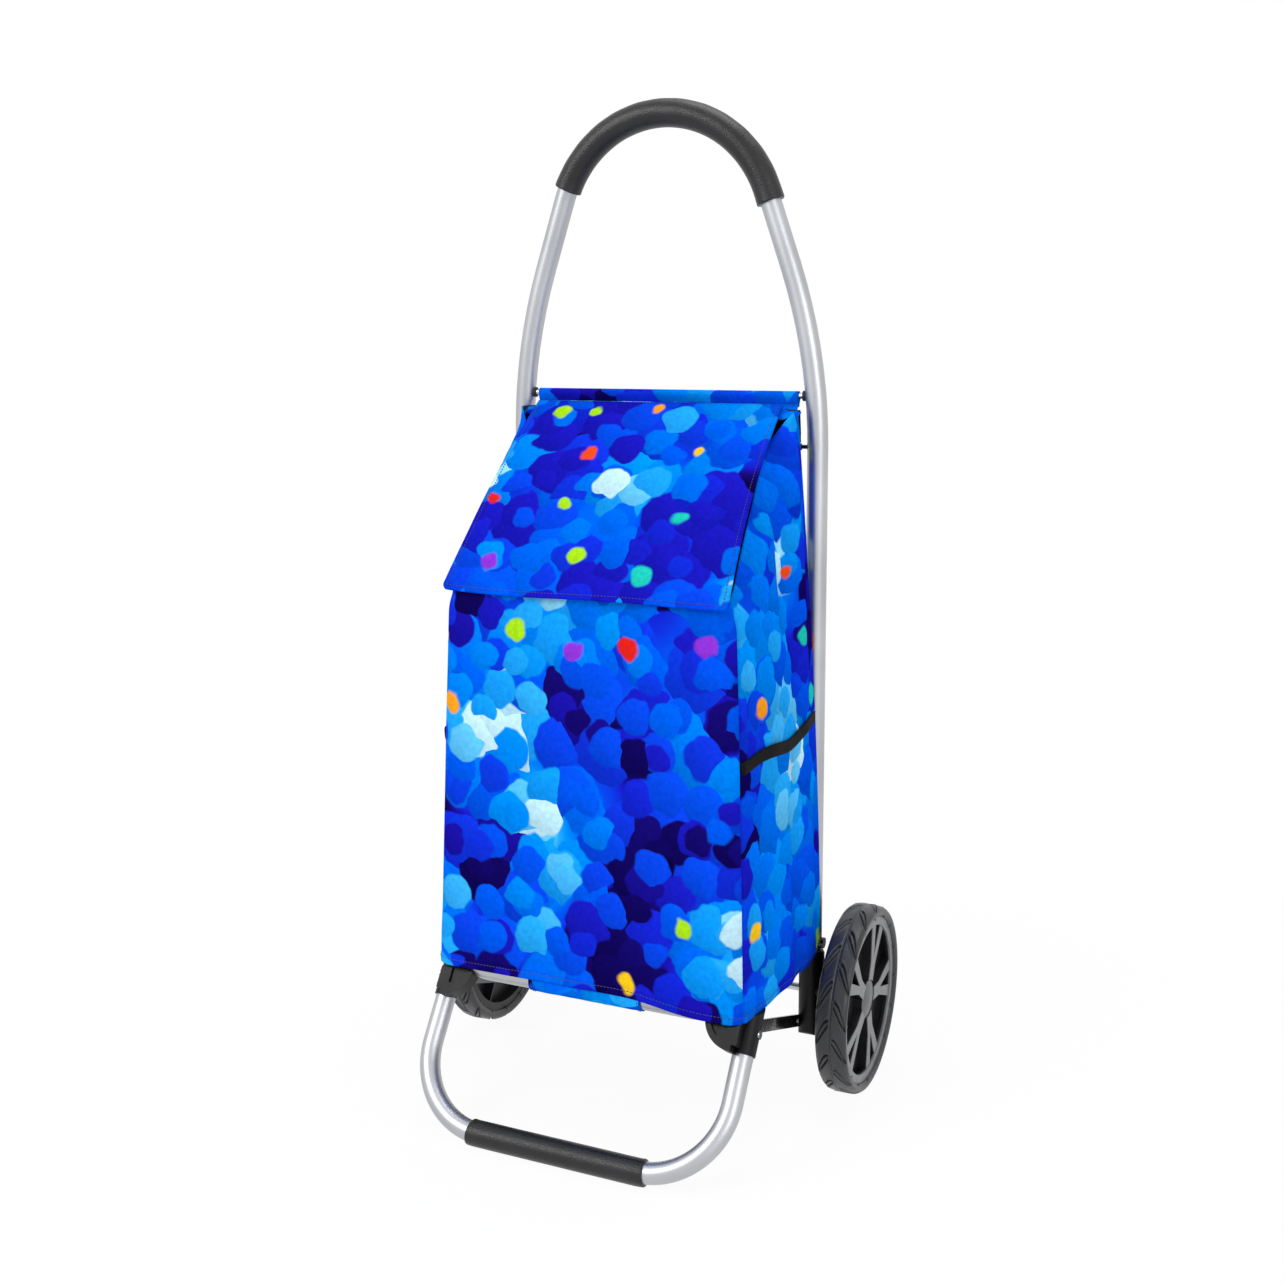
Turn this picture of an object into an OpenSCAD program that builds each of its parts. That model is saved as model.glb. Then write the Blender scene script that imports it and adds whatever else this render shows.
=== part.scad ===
// Shopping trolley: a tube hoop on two spoked wheels, a folding base and a soft bag.
// Millimetres, +Z up, the front faces -Y. The origin is on the floor, under the
// middle of the box that holds the whole part. The base folds up against the hoop
// about the platform bolts, and the front leg and the two braces follow it.

/* [Handle hoop] */
// Overall height, floor to the top of the grip
handle_h = 970; // [850:5:1100]
// Outer diameter of every frame tube
tube_d = 20; // [16:0.5:25]
// Wall of every frame tube
tube_wall = 1.2; // [1:0.1:2]
// Distance between the two upright tubes, centre to centre
frame_w = 316; // [280:1:360]
// Bend radius over the top of the hoop
arch_r = 112.5; // [90:0.5:125]
// Bend radius of the two shoulders
shoulder_r = 527; // [300:1:600]
// Lean of the hoop above its shoulders, in degrees
shoulder_a = 19; // [12:0.5:24]
// Outer diameter of the foam grip
grip_d = 27; // [25:0.5:34]
// Straight tail of the grip below the bend, on the right
grip_tail = 10; // [1:0.5:30]
// How far round the bend the grip has been pushed to the right, in degrees
grip_slip = 5; // [0:0.5:10]
// How far the uprights stand behind the wheel axle
post_back = 3; // [0:0.5:8]

/* [Bag rods] */
// Height of the upper rod that carries the bag
rod_z = 693; // [670:1:720]
// Diameter of the upper rod
rod_d = 6; // [5:0.5:8]
// Diameter of the rubber collar at each end of the upper rod
collar_d = 10; // [9:0.5:14]
// Thickness of each collar
collar_t = 2.2; // [1.5:0.1:4]
// Height of the lower rod
low_rod_z = 645; // [630:1:655]
// Diameter of the lower rod
low_rod_d = 4; // [3:0.5:6]

/* [Wheels] */
// Diameter of the tyre
wheel_d = 188; // [160:1:220]
// Width of the tyre
tyre_w = 31.2; // [24:0.2:40]
// Height of the tyre over the rim
tyre_h = 10.7; // [8:0.1:16]
// Distance between the two tyres, centre to centre
track = 417; // [405:1:450]
// Thickness of the rim wall
rim_wall = 3; // [2.4:0.1:5]
// Height of the rim's face ring
rim_face = 8.5; // [6:0.5:12]
// Number of twin spokes
spoke_pairs = 5; // [3:1:7]
// Angle that a twin spoke covers where it meets the rim, in degrees
spoke_spread = 31; // [22:1:40]
// Width of one spoke blade
blade_w = 11; // [7:0.5:14]
// Depth of the spokes along the axle
blade_t = 10; // [5:0.5:10]
// Thickness of the disc that closes the wheel behind its spokes
disc_t = 2; // [1.6:0.1:3]
// Diameter of the hub cap
cap_d = 38; // [32:0.5:46]
// Diameter of the hub barrel
hub_d = 26; // [22:0.5:32]
// Diameter of the axle
axle_d = 8; // [6:0.5:10]

/* [Axle fittings] */
// Diameter of the plastic sleeve at the foot of each upright
fitting_d = 26; // [24:0.5:32]
// Top of the sleeve
fitting_top = 136; // [125:1:136]
// Height of the bolt that carries the brace
brace_bolt_z = 57; // [50:0.5:62]
// How far this bolt stands in front of the axle
brace_bolt_fwd = 1; // [0:0.5:3]

/* [Platform] */
// Height of the platform tube
platform_z = 145; // [142:0.5:150]
// Distance between the side tubes, centre to centre
platform_w = 266; // [240:1:266]
// Reach of the front tube ahead of the uprights
platform_len = 191; // [180:1:200]
// Corner radius of the platform tube
platform_r = 26; // [26:1:50]
// Diameter of the frame bolts
bolt_d = 6; // [5:0.5:7]
// Width of the fabric loop round the front tube
loop_w = 118; // [80:1:150]

/* [Front leg] */
// Reach of the leg's foot bar ahead of the axle
leg_reach = 260.6; // [255:0.2:266]
// Lean of the leg from upright, in degrees
leg_lean = 36; // [34:0.5:38]
// Corner radius of the leg tube
leg_r = 76; // [60:1:90]
// Length of the leg up to the end of its tube
leg_len = 150; // [146:1:152]
// Diameter of the foam sleeve that stands on the floor
foot_d = 25; // [23:0.5:30]
// Distance of the brace rivet up the leg
rivet_up = 140.5; // [138:0.5:143]
// How far the leg's pivot lies in front of the uprights
knee_fwd = 140; // [138:0.5:142]

/* [Knuckles and braces] */
// Outer diameter of the knuckle's sleeve on the leg
knuckle_d = 23; // [22.5:0.5:25]
// Radius of the rounded web of the knuckle
web_r = 30; // [26:0.5:34]
// Thickness of the web
web_t = 16; // [12:0.5:18]
// Height of the cut across the knuckle's top
knuckle_top = 143.5; // [141:0.1:143.6]
// Width of a brace
brace_w = 12.5; // [11:0.5:13]
// Thickness of a brace
brace_t = 2.5; // [2:0.1:2.6]
// Thickness of the cheek that reaches the pivot
cheek_t = 3.8; // [3:0.1:4]

/* [Bag] */
// Half width of the bag at the lower front seam
bag_front = 162; // [150:1:175]
// Half width of the bag at the lower rear seam
bag_rear = 174; // [165:1:176]
// Height of the hem under the side panels
hem_z = 144.2; // [143.9:0.1:150]
// Height of the hem under the front panel
front_hem_z = 150; // [148:0.5:154]
// Thickness of the lined fabric wall
bag_wall = 2.6; // [2:0.1:4]
// Thickness of the board in the bottom of the bag
board_t = 3; // [2:0.5:5]
// Thickness of the flap
flap_t = 3; // [2:0.1:4]
// Half width of the flap where it is sewn on
flap_top_w = 130; // [120:1:140]
// Half width of the flap at its free edge
flap_low_w = 143; // [130:1:148]
// Height of the flap's hinge line
flap_z = 686; // [675:1:690]
// Height of the flap's free edge
flap_low_z = 521; // [500:1:560]
// Width of the elastic strap on each side
strap_w = 12; // [8:1:20]

/* [Hidden] */
$fn = 64;

fit = 0.05;          // running and seating clearance on a radius
bead = 0.1;          // height of the fine ring where two stretches of the hoop meet
side_gap = 0.4;      // gap between links that pass each other
soft_gap = 0.3;      // gap between fabric and its neighbours
tube_r = tube_d / 2;
post_x = frame_w / 2;
axle_z = wheel_d / 2;
axle_y = (leg_reach + foot_d / 2 - wheel_d / 2) / 2;
post_y = axle_y + post_back;

// hoop
arch_z = handle_h - grip_d / 2 - arch_r;
slant_len = (post_x - arch_r * cos(shoulder_a) - shoulder_r * (1 - cos(shoulder_a))) / sin(shoulder_a);
arch_end_x = arch_r * cos(shoulder_a);
arch_end_z = arch_z + arch_r * sin(shoulder_a);
slant_x = arch_end_x + slant_len * sin(shoulder_a);
slant_z = arch_end_z - slant_len * cos(shoulder_a);
shoulder_z = slant_z - shoulder_r * sin(shoulder_a);
// centre line of an upright at the height z, up to the end of its shoulder
function upright_x(z) = z < shoulder_z ? post_x
    : post_x - shoulder_r + sqrt(shoulder_r * shoulder_r - (z - shoulder_z) * (z - shoulder_z));
rod_seat_x = upright_x(rod_z) - tube_r;
low_rod_seat_x = upright_x(low_rod_z) - tube_r;

// links, counted outwards from the middle of the part
platform_x = platform_w / 2;
brace_x = platform_x + tube_r + side_gap;
link_x = brace_x + brace_t + side_gap;
cheek_x = brace_x + cheek_t;
fitting_out = post_x + fitting_d / 2;
fitting_low = brace_bolt_z - fitting_d / 2 + 0.5;
socket_z = brace_bolt_z + bolt_d / 2 + 12;

// front leg
bar_y = axle_y - leg_reach;
bar_z = foot_d / 2;
knee_y = post_y - knee_fwd;
brace_bolt_y = axle_y - brace_bolt_fwd;
rivet_y = bar_y + rivet_up * sin(leg_lean);
rivet_z = bar_z + rivet_up * cos(leg_lean);
// the knee pivot in the leg's own plane: distance up the leg, and behind it
knee_up = (knee_y - bar_y) * sin(leg_lean) + (platform_z - bar_z) * cos(leg_lean);
knee_back = (knee_y - bar_y) * cos(leg_lean) - (platform_z - bar_z) * sin(leg_lean);
web_x = link_x + 6.7;
web_up = leg_len - 2.5;
web_front = 8.5 + web_t;
front_y = post_y - platform_len;

// wheels, counted along the axle from the middle of the tyre
wheel_x = track / 2;
rim_r = wheel_d / 2 - tyre_h;
rim_out = tyre_w / 2 - 3.7;
bush_in = 21.5;
nut_seat = 5.3;
cap_in = 9.3;
washer_t = 1.2;

// bag
bag_back_y = post_y - tube_r - 2.8;
panel_y = post_y - tube_r - 0.5;
bag_low_y = axle_y - 202;
bag_top_y = axle_y - 182;
rear_hem_z = platform_z + tube_r + soft_gap;
bottom_z = rear_hem_z + 0.1;
hinge_y = axle_y - 17;
flap_low_y = axle_y - 191;
flap_run = sqrt((hinge_y - flap_low_y) * (hinge_y - flap_low_y)
    + (flap_z - flap_low_z) * (flap_z - flap_low_z));
flap_pitch = atan2(flap_z - flap_low_z, hinge_y - flap_low_y);
flap_rise = 9;
flap_r = flap_run * flap_run / (8 * flap_rise) + flap_rise / 2;
flap_cy = (hinge_y + flap_low_y) / 2 + (flap_r - flap_rise) * sin(flap_pitch);
flap_cz = (flap_z + flap_low_z) / 2 - (flap_r - flap_rise) * cos(flap_pitch);

module both() {
    children();
    mirror([1, 0, 0]) children();
}

module tube_section() {
    difference() {
        circle(d = tube_d, $fn = 64);
        circle(d = tube_d - 2 * tube_wall, $fn = 64);
    }
}

// a bar of the given radius along X, from x0 to x1
module cross_bar(r, x0, x1, y, z) {
    translate([x0, y, z]) rotate([0, 90, 0]) cylinder(r = r, h = x1 - x0);
}

// ---------------------------------------------------------------- handle hoop

// the bend over the top, less a few degrees at its left end
module hoop_arch(less = 0) {
    translate([0, post_y, arch_z]) rotate([90, 0, 0]) rotate([0, 0, shoulder_a])
        rotate_extrude(angle = 180 - 2 * shoulder_a - less, $fn = 180)
            translate([arch_r, 0]) children();
}

// a straight stretch from (x, z), leaning inwards by a, that stops short inside its seams
module stretch(x, z, a, l, r) {
    translate([x, post_y, z]) rotate([0, -a, 0]) translate([0, 0, 0.1])
        cylinder(r = r, h = l - 0.2);
}

// the fine ring where a straight stretch runs into a bend
module seam(x, z, a, r) {
    translate([x, post_y, z]) rotate([0, -a, 0]) translate([0, 0, -0.6]) cylinder(r = r, h = 1.2);
}

module hoop_side(r, b) {
    stretch(post_x, socket_z - 0.1, 0, shoulder_z - socket_z + 0.1, r);
    seam(post_x, shoulder_z, 0, r + b);
    translate([post_x - shoulder_r, post_y, shoulder_z]) rotate([90, 0, 0])
        rotate_extrude(angle = shoulder_a, $fn = 360) translate([shoulder_r, 0])
            circle(r = r, $fn = 64);
    seam(slant_x, slant_z, shoulder_a, r + b);
    stretch(slant_x, slant_z, shoulder_a, slant_len, r);
    seam(arch_end_x, arch_end_z, shoulder_a, r + 0.4 * b);
}

module hoop_path(r, b) {
    hoop_arch() circle(r = r, $fn = 64);
    both() hoop_side(r, b);
}

module handle_hoop() {
    color("silver") difference() {
        hoop_path(tube_r, bead);
        hoop_path(tube_r - tube_wall, -bead);
        cross_bar(rod_d / 2 + fit, -rod_seat_x - 5, rod_seat_x + 5, post_y, rod_z);
        cross_bar(low_rod_d / 2 + fit, -low_rod_seat_x - 5, low_rod_seat_x + 5, post_y, low_rod_z);
        both() cross_bar(bolt_d / 2 + fit, link_x, fitting_out + 5, post_y, platform_z);
        both() cross_bar(axle_d / 2 + fit, link_x, fitting_out + 5, axle_y, axle_z);
    }
}

module grip_section() {
    difference() {
        circle(d = grip_d, $fn = 64);
        circle(d = tube_d + 2 * fit, $fn = 64);
    }
}

module handle_grip() {
    color("#2b2b2d") union() {
        hoop_arch(grip_slip) grip_section();
        translate([arch_end_x, post_y, arch_end_z]) rotate([0, 180 - shoulder_a, 0])
            linear_extrude(grip_tail) grip_section();
    }
}

// ---------------------------------------------------------------- rods

module top_rod() {
    color("#d8d9db") cross_bar(rod_d / 2, -rod_seat_x - 4, rod_seat_x + 4, post_y, rod_z);
}

module rod_collars() {
    color("#1b1b1d") both() difference() {
        cross_bar(collar_d / 2, rod_seat_x - collar_t, rod_seat_x + 1.5, post_y, rod_z);
        cross_bar(rod_d / 2 + fit, rod_seat_x - 10, rod_seat_x + 10, post_y, rod_z);
        translate([upright_x(rod_z), post_y, rod_z]) rotate([0, -asin((rod_z - shoulder_z) / shoulder_r), 0])
            translate([0, 0, -20]) cylinder(r = tube_r + soft_gap, h = 40);
    }
}

module lower_rod() {
    color("#1f1f21") cross_bar(low_rod_d / 2, -low_rod_seat_x - 4, low_rod_seat_x + 4, post_y, low_rod_z);
}

// a webbing tab at each rear bag corner, looped round the lower rod
module rod_straps() {
    tab_x = upright_x(low_rod_z + 33) - tube_r - 8.4;
    color("#151517") both() union() {
        difference() {
            cross_bar(low_rod_d / 2 + 1.6, tab_x, tab_x + 8, post_y, low_rod_z);
            cross_bar(low_rod_d / 2 + fit, tab_x - 1, tab_x + 9, post_y, low_rod_z);
        }
        translate([tab_x, post_y - low_rod_d / 2 - 1.6, low_rod_z]) cube([8, 1.5, 33]);
    }
}

// ---------------------------------------------------------------- axle and fittings

module fitting_profile() {
    translate([axle_y + 1, brace_bolt_z + 0.5]) circle(d = fitting_d);
    translate([axle_y - 22, brace_bolt_z + 0.5]) square([45, fitting_top - brace_bolt_z]);
}

module axle_fitting() {
    difference() {
        intersection() {
            union() {
                translate([post_x, post_y, 0]) cylinder(d = fitting_d, h = fitting_top - 3);
                translate([post_x, post_y, fitting_top - 3])
                    cylinder(d1 = fitting_d, d2 = fitting_d - 3, h = 3);
            }
            translate([link_x, 0, 0]) rotate([90, 0, 90]) linear_extrude(fitting_d) fitting_profile();
        }
        translate([post_x, post_y, socket_z]) cylinder(r = tube_r + fit, h = 200);
        cross_bar(axle_d / 2 + fit, post_x - 30, post_x + 30, axle_y, axle_z);
        cross_bar(bolt_d / 2 + fit, post_x - 30, post_x + 30, brace_bolt_y, brace_bolt_z);
    }
}

module left_axle_fitting() {
    color("#2e2e30") mirror([1, 0, 0]) axle_fitting();
}

module right_axle_fitting() {
    color("#2e2e30") axle_fitting();
}

module axle() {
    reach = wheel_x + nut_seat + washer_t + 3;
    color("#b4b6b8") cross_bar(axle_d / 2, -reach, reach, axle_y, axle_z);
}

module axle_ring(r, x0, x1) {
    difference() {
        cross_bar(r, x0, x1, axle_y, axle_z);
        cross_bar(axle_d / 2 + fit, x0 - 1, x1 + 1, axle_y, axle_z);
    }
}

module axle_spacers() {
    color("#242426") both() difference() {
        axle_ring(axle_d / 2 + 3.5, post_x + 8, wheel_x - bush_in - washer_t - 0.1);
        translate([post_x, post_y, axle_z - 20]) cylinder(d = fitting_d + 2 * fit, h = 40);
    }
}

module axle_washers() {
    color("#b9bbbd") both() union() {
        axle_ring(axle_d / 2 + 5, wheel_x - bush_in - washer_t - 0.1, wheel_x - bush_in - 0.1);
        axle_ring(axle_d / 2 + 5, wheel_x + nut_seat + 0.1, wheel_x + nut_seat + 0.1 + washer_t);
    }
}

module axle_nuts() {
    x0 = wheel_x + nut_seat + 0.1 + washer_t;
    color("#a9abad") both() difference() {
        translate([x0, axle_y, axle_z]) rotate([0, 90, 0]) cylinder(d = 13, h = 2, $fn = 6);
        cross_bar(axle_d / 2 + fit, x0 - 1, x0 + 5, axle_y, axle_z);
    }
}

// ---------------------------------------------------------------- pivots

module platform_pivot_bolts() {
    color("#2a2a2c") both() union() {
        cross_bar(bolt_d / 2, platform_x - tube_r - 1.5, fitting_out, post_y, platform_z);
        cross_bar(5.5, platform_x - tube_r - 4, platform_x - tube_r - 1.5, post_y, platform_z);
        difference() {
            cross_bar(5.5, post_x + tube_r - 2, post_x + tube_r + 3.2, post_y, platform_z);
            translate([post_x, post_y, platform_z - 20]) cylinder(r = tube_r, h = 40);
        }
    }
}

// saddle spacers between the platform and the uprights, and flat washers under the inner bolt heads
module pivot_spacers() {
    color("#39393b") both() difference() {
        union() {
            cross_bar(5, brace_x - side_gap / 2, post_x - 6, post_y, platform_z);
            cross_bar(5, platform_x - tube_r - 1.5, platform_x - tube_r - fit, post_y, platform_z);
        }
        cross_bar(bolt_d / 2 + fit, platform_x - 20, post_x, post_y, platform_z);
        translate([post_x, post_y, platform_z - 20]) cylinder(r = tube_r + fit, h = 40);
    }
}

module brace_pivot_bolts() {
    color("#6c6e70") both() union() {
        cross_bar(bolt_d / 2, brace_x - 1, fitting_out, brace_bolt_y, brace_bolt_z);
        cross_bar(5, brace_x - 2.6, brace_x - 0.1, brace_bolt_y, brace_bolt_z);
    }
}

// ---------------------------------------------------------------- bag

function mix(a, b, t) = a + (b - a) * t;
// half width of the front and rear seams at the height z
function front_w(z) = bag_front - 14 * pow((z - hem_z) / 380, 1.2);
function rear_w(z) = bag_rear - 29 * pow((z - hem_z) / 545, 1.6);
function front_y_at(z) = mix(bag_low_y, bag_top_y, (z - hem_z) / 380);
// height of the side rim, which follows the underside of the flap
function flap_under(y) = flap_cz + sqrt(pow(flap_r - flap_t - soft_gap, 2) - pow(y - flap_cy, 2));
function rim_z(y) = min(flap_under(y), flap_z - flap_t - 2.2);
// the hem hangs lower at the sides, and stops above the side tubes at the back
function hem_at(p) = p[0] == 0 && (p[3] == 0 || p[2] > 60) ? front_hem_z
    : p[0] == 1 && p[3] == 0 ? rear_hem_z : hem_z;
// the outline is walked from the middle of the front to the middle of the back:
// [share of the depth, share of the half width, corner angle, which corner]
outline = [[0, 0, 0, 0], [0, 0.35, 0, 0], [0, 0.7, 0, 0],
    [0, 1, 90, 1], [0, 1, 65, 1], [0, 1, 40, 1], [0, 1, 15, 1],
    [0.3, 1, 0, 0], [0.5, 1, 0, 0], [0.7, 1, 0, 0], [0.88, 1, 0, 0],
    [1, 1, 0, 2], [1, 1, 30, 2], [1, 1, 60, 2], [1, 1, 90, 2],
    [1, 0.86, 0, 0], [1, 0.45, 0, 0], [1, 0, 0, 0]];
function corner_r(c, inset) = max((c == 1 ? 18 : 9) - inset, 1);
function wall_w(z, u) = mix(front_w(z), rear_w(z), u) + 4 * sin(180 * u);
function wall_y(z, u) = mix(front_y_at(z), bag_back_y, u);
// one point of the wall at the height z, moved inwards by inset
function wall_point(p, z, inset) =
    let (w = wall_w(z, p[0]) - inset,
        y0 = front_y_at(z) + inset,
        y1 = bag_back_y - inset,
        r = corner_r(p[3], inset))
    p[3] == 1 ? [w - r + r * cos(p[2]), y0 + r - r * sin(p[2]), z]
    : p[3] == 2 ? [w - r + r * cos(p[2]), y1 - r + r * sin(p[2]), z]
    : p[1] < 1 ? [p[1] * w, p[0] < 0.5 ? y0 : y1, z]
    : [w, mix(y0, y1, p[0]), z];
levels = 12;
// a ring of points: t runs from the floor of the bag to the rim
function wall_ring(t, inset, floor_z) =
    let (half = [for (p = outline)
        let (y = wall_y(mix(hem_z, flap_low_z + 4, t), p[0]))
        wall_point(p, mix(floor_z, rim_z(y), t), inset)],
        n = len(half))
    concat(half, [for (i = [n - 2:-1:1]) [-half[i][0], half[i][1], half[i][2]]]);

// triangles between ring j and ring j + 1, and from a middle point to a ring
function band(j, n) = [for (i = [0:n - 1]) each [
    [j * n + i, (j + 1) * n + i, (j + 1) * n + (i + 1) % n],
    [j * n + i, (j + 1) * n + (i + 1) % n, j * n + (i + 1) % n]]];
function fan(mid, j, n, flip) = [for (i = [0:n - 1])
    flip ? [mid, j * n + (i + 1) % n, j * n + i] : [mid, j * n + i, j * n + (i + 1) % n]];

module bag_shell() {
    outer = [for (k = [0:levels]) wall_ring(k / levels, 0, bottom_z)];
    inner = [for (k = [levels:-1:0]) wall_ring(k / levels, bag_wall, bottom_z + bag_wall)];
    rings = concat(outer, inner);
    n = len(outer[0]);
    m = len(rings);
    mid_y = (bag_low_y + bag_back_y) / 2;
    polyhedron(
        points = concat([for (r = rings) for (p = r) p],
            [[0, mid_y, bottom_z], [0, mid_y, bottom_z + bag_wall]]),
        faces = concat([for (j = [0:m - 2]) each band(j, n)],
            fan(m * n, 0, n, false), fan(m * n + 1, m - 1, n, true)));
}

module bag_body() {
    color("#2a62d8") bag_shell();
}

// the walls' lower edge, doubled and sewn, which hangs below the floor of the bag
// and hides the platform: it runs from one rear corner round the front to the other
function hem_section(p, side) =
    let (low = p[0] == 1 ? bottom_z - 1.5 : hem_at(p),
        corners = [wall_point(p, low, bag_wall), wall_point(p, bottom_z, bag_wall),
            wall_point(p, bottom_z, 0), wall_point(p, low, 0)])
    [for (c = corners) [side * c[0], c[1], c[2]]];
module bag_hem() {
    run = [for (p = outline) if (p[0] < 1 || p[2] == 0 && p[3] == 2) p];
    n = len(run);
    sections = concat([for (i = [n - 1:-1:1]) hem_section(run[i], -1)],
        [for (p = run) hem_section(p, 1)]);
    last = 4 * (len(sections) - 1);
    color("#2457c4") polyhedron(
        points = [for (q = sections) for (c = q) c],
        faces = concat([for (j = [0:len(sections) - 2]) each band(j, 4)],
            [[0, 1, 2], [0, 2, 3]],
            [[last + 2, last + 1, last], [last + 3, last + 2, last]]));
}

// rear panel with the sleeve that hangs on the upper rod
module bag_back_panel() {
    sleeve_r = rod_d / 2 + 1.4;
    color("#2f7de0") translate([-rod_seat_x + collar_t + 4, 0, 0]) rotate([90, 0, 90])
        linear_extrude(2 * (rod_seat_x - collar_t - 4)) difference() {
            union() {
                polygon([[panel_y - 2, bottom_z + 4], [panel_y, bottom_z + 4],
                    [panel_y, rod_z - 12], [post_y, rod_z - sleeve_r], [post_y, rod_z],
                    [post_y - sleeve_r, rod_z], [panel_y - 2, rod_z - 11]]);
                translate([post_y, rod_z]) circle(r = sleeve_r);
            }
            translate([post_y, rod_z]) circle(r = rod_d / 2 + fit);
        }
}

module bag_base_board() {
    y0 = bag_low_y + bag_wall + 3;
    y1 = bag_back_y - bag_wall - 2;
    w = bag_front - bag_wall - 3;
    color("#1c1c20") translate([0, 0, bottom_z + bag_wall + soft_gap]) linear_extrude(board_t)
        union() {
            translate([-w, y0 + 20]) square([2 * w, y1 - y0 - 20]);
            translate([-w + 20, y0]) square([2 * w - 40, 30]);
            translate([-w + 20, y0 + 20]) circle(r = 20);
            translate([w - 20, y0 + 20]) circle(r = 20);
        }
}

// elastic straps that lie on the side panels
strap_line = [[0.06, 387], [0.22, 388], [0.45, 388], [0.6, 386], [0.78, 382], [0.95, 377]];
function strap_point(q, up, out) =
    let (z = q[1] + up)
    [wall_w(z, q[0]) + out, mix(front_y_at(z), bag_back_y, q[0]), z];
module side_straps() {
    n = len(strap_line);
    h = strap_w / 2;
    pts = [for (q = strap_line) for (c = [[-h, soft_gap], [h, soft_gap], [h, soft_gap + 1.4], [-h, soft_gap + 1.4]])
        strap_point(q, c[0], c[1])];
    color("#1a1a1c") both() polyhedron(
        points = pts,
        faces = concat(
            [for (j = [0:n - 2]) for (i = [0:3])
                [j * 4 + i, j * 4 + (i + 1) % 4, (j + 1) * 4 + (i + 1) % 4, (j + 1) * 4 + i]],
            [[3, 2, 1, 0]],
            [[for (i = [0:3]) (n - 1) * 4 + i]]));
}

// flap: a shallow barrel-shaped sheet, cut to a tapered outline with round corners
module flap_outline() {
    r = 12;
    corner = [for (a = [0:-11.25:-90]) [flap_low_w - r + r * cos(a), r - flap_run / 2 + r * sin(a)]];
    right = concat([[flap_top_w, flap_run / 2]], corner);
    polygon(concat(right, [for (i = [len(right) - 1:-1:0]) [-right[i][0], right[i][1]]]));
}

module bag_flap() {
    color("#3f8ff0") intersection() {
        difference() {
            cross_bar(flap_r, -200, 200, flap_cy, flap_cz, $fn = 1440);
            cross_bar(flap_r - flap_t, -201, 201, flap_cy, flap_cz, $fn = 1440);
        }
        translate([0, (hinge_y + flap_low_y) / 2, (flap_z + flap_low_z) / 2])
            rotate([flap_pitch, 0, 0]) translate([0, 0, -10]) linear_extrude(40) flap_outline();
    }
}

// ---------------------------------------------------------------- wheels
// Built about the origin with the axle along Z and the outer face up.

module tyre_section() {
    difference() {
        intersection() {
            union() {
                translate([rim_r + fit, -tyre_w / 2 + 6]) square([wheel_d / 2 - rim_r, tyre_w - 12]);
                translate([rim_r + fit, -tyre_w / 2 + 2.4]) square([5, tyre_w - 4.8]);
                translate([rim_r + 4.7, -tyre_w / 2]) square([0.6, tyre_w]);
                translate([rim_r + 4.7, -tyre_w / 2 + 6]) circle(r = 6);
                translate([rim_r + 4.7, tyre_w / 2 - 6]) circle(r = 6);
                translate([rim_r - 2.5, -5]) square([5, 10]);
            }
            translate([wheel_d / 2 - 60, 0]) circle(r = 60);
            translate([rim_r - 2.5 + fit, -50]) square([100, 100]);
        }
        translate([wheel_d / 2 - 1.2, -1]) square([3, 2]);
    }
}

module tyre() {
    rotate_extrude() difference() {
        tyre_section();
        translate([rim_r - 10, 5]) square([10 + fit, 40]);
        translate([rim_r - 10, -45]) square([10 + fit, 40]);
    }
}

module rim_section() {
    difference() {
        translate([rim_r - rim_wall - 2.5, -rim_out]) square([rim_wall + 2.5, 2 * rim_out]);
        translate([rim_r - 2.5, -5 - fit]) square([5, 10 + 2 * fit]);
    }
    translate([rim_r - rim_face, rim_out - 5]) square([rim_face, 5]);
    translate([rim_r - rim_face, -rim_out]) square([rim_face, 2]);
    // the closed disc behind the spokes
    translate([hub_d / 2 - 1, -disc_t / 2]) square([rim_r - rim_wall - hub_d / 2 - 0.5, disc_t]);
}

// one blade of a twin spoke, lying to the +X side of its pair's middle line
module blade() {
    kink = rim_r * 0.45;
    a = spoke_spread / 2;
    polygon([[0, hub_d / 2 - 1], [blade_w * 0.6, hub_d / 2 - 1], [blade_w * 0.68, kink],
        [(rim_r - 6) * sin(a), (rim_r - 6) * cos(a)],
        [(rim_r - 3) * sin(a) - blade_w * 1.1, (rim_r - 3) * cos(a * 0.4)], [0, kink + 3]]);
}

module rim() {
    difference() {
        union() {
            rotate_extrude() rim_section();
            translate([0, 0, -bush_in + 1.5]) cylinder(d = hub_d, h = bush_in - 0.5);
            translate([0, 0, 1]) cylinder(d = cap_d + 0.6, h = cap_in - 1);
            translate([0, 0, rim_out - 1 - blade_t]) linear_extrude(blade_t)
                for (i = [0:spoke_pairs - 1]) rotate(i * 360 / spoke_pairs) {
                    blade();
                    mirror([1, 0]) blade();
                }
            // stiffening ribs on the inner side
            for (i = [0:spoke_pairs - 1]) rotate(i * 360 / spoke_pairs)
                translate([-1, hub_d / 2 - 1, -rim_out + 1.5])
                    cube([2, rim_r - rim_wall - hub_d / 2 - 0.5, rim_out - 1.5]);
        }
        translate([0, 0, -40]) cylinder(d = axle_d + 8 + 2 * fit, h = 80);
        translate([0, 0, nut_seat]) cylinder(d = 27, h = 40);
        translate([0, 0, cap_in]) cylinder(d = cap_d + 0.6, h = 40);
    }
}

module hub_cap() {
    rotate_extrude() difference() {
        intersection() {
            translate([0, cap_in - 56.7]) circle(r = 60.1, $fn = 720);
            translate([0, cap_in - 3]) square([cap_d / 2, 10]);
        }
        translate([0, cap_in - 4]) square([12, 4.9]);
        translate([13.4, cap_in - 4]) square([cap_d, 4]);
    }
}

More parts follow.
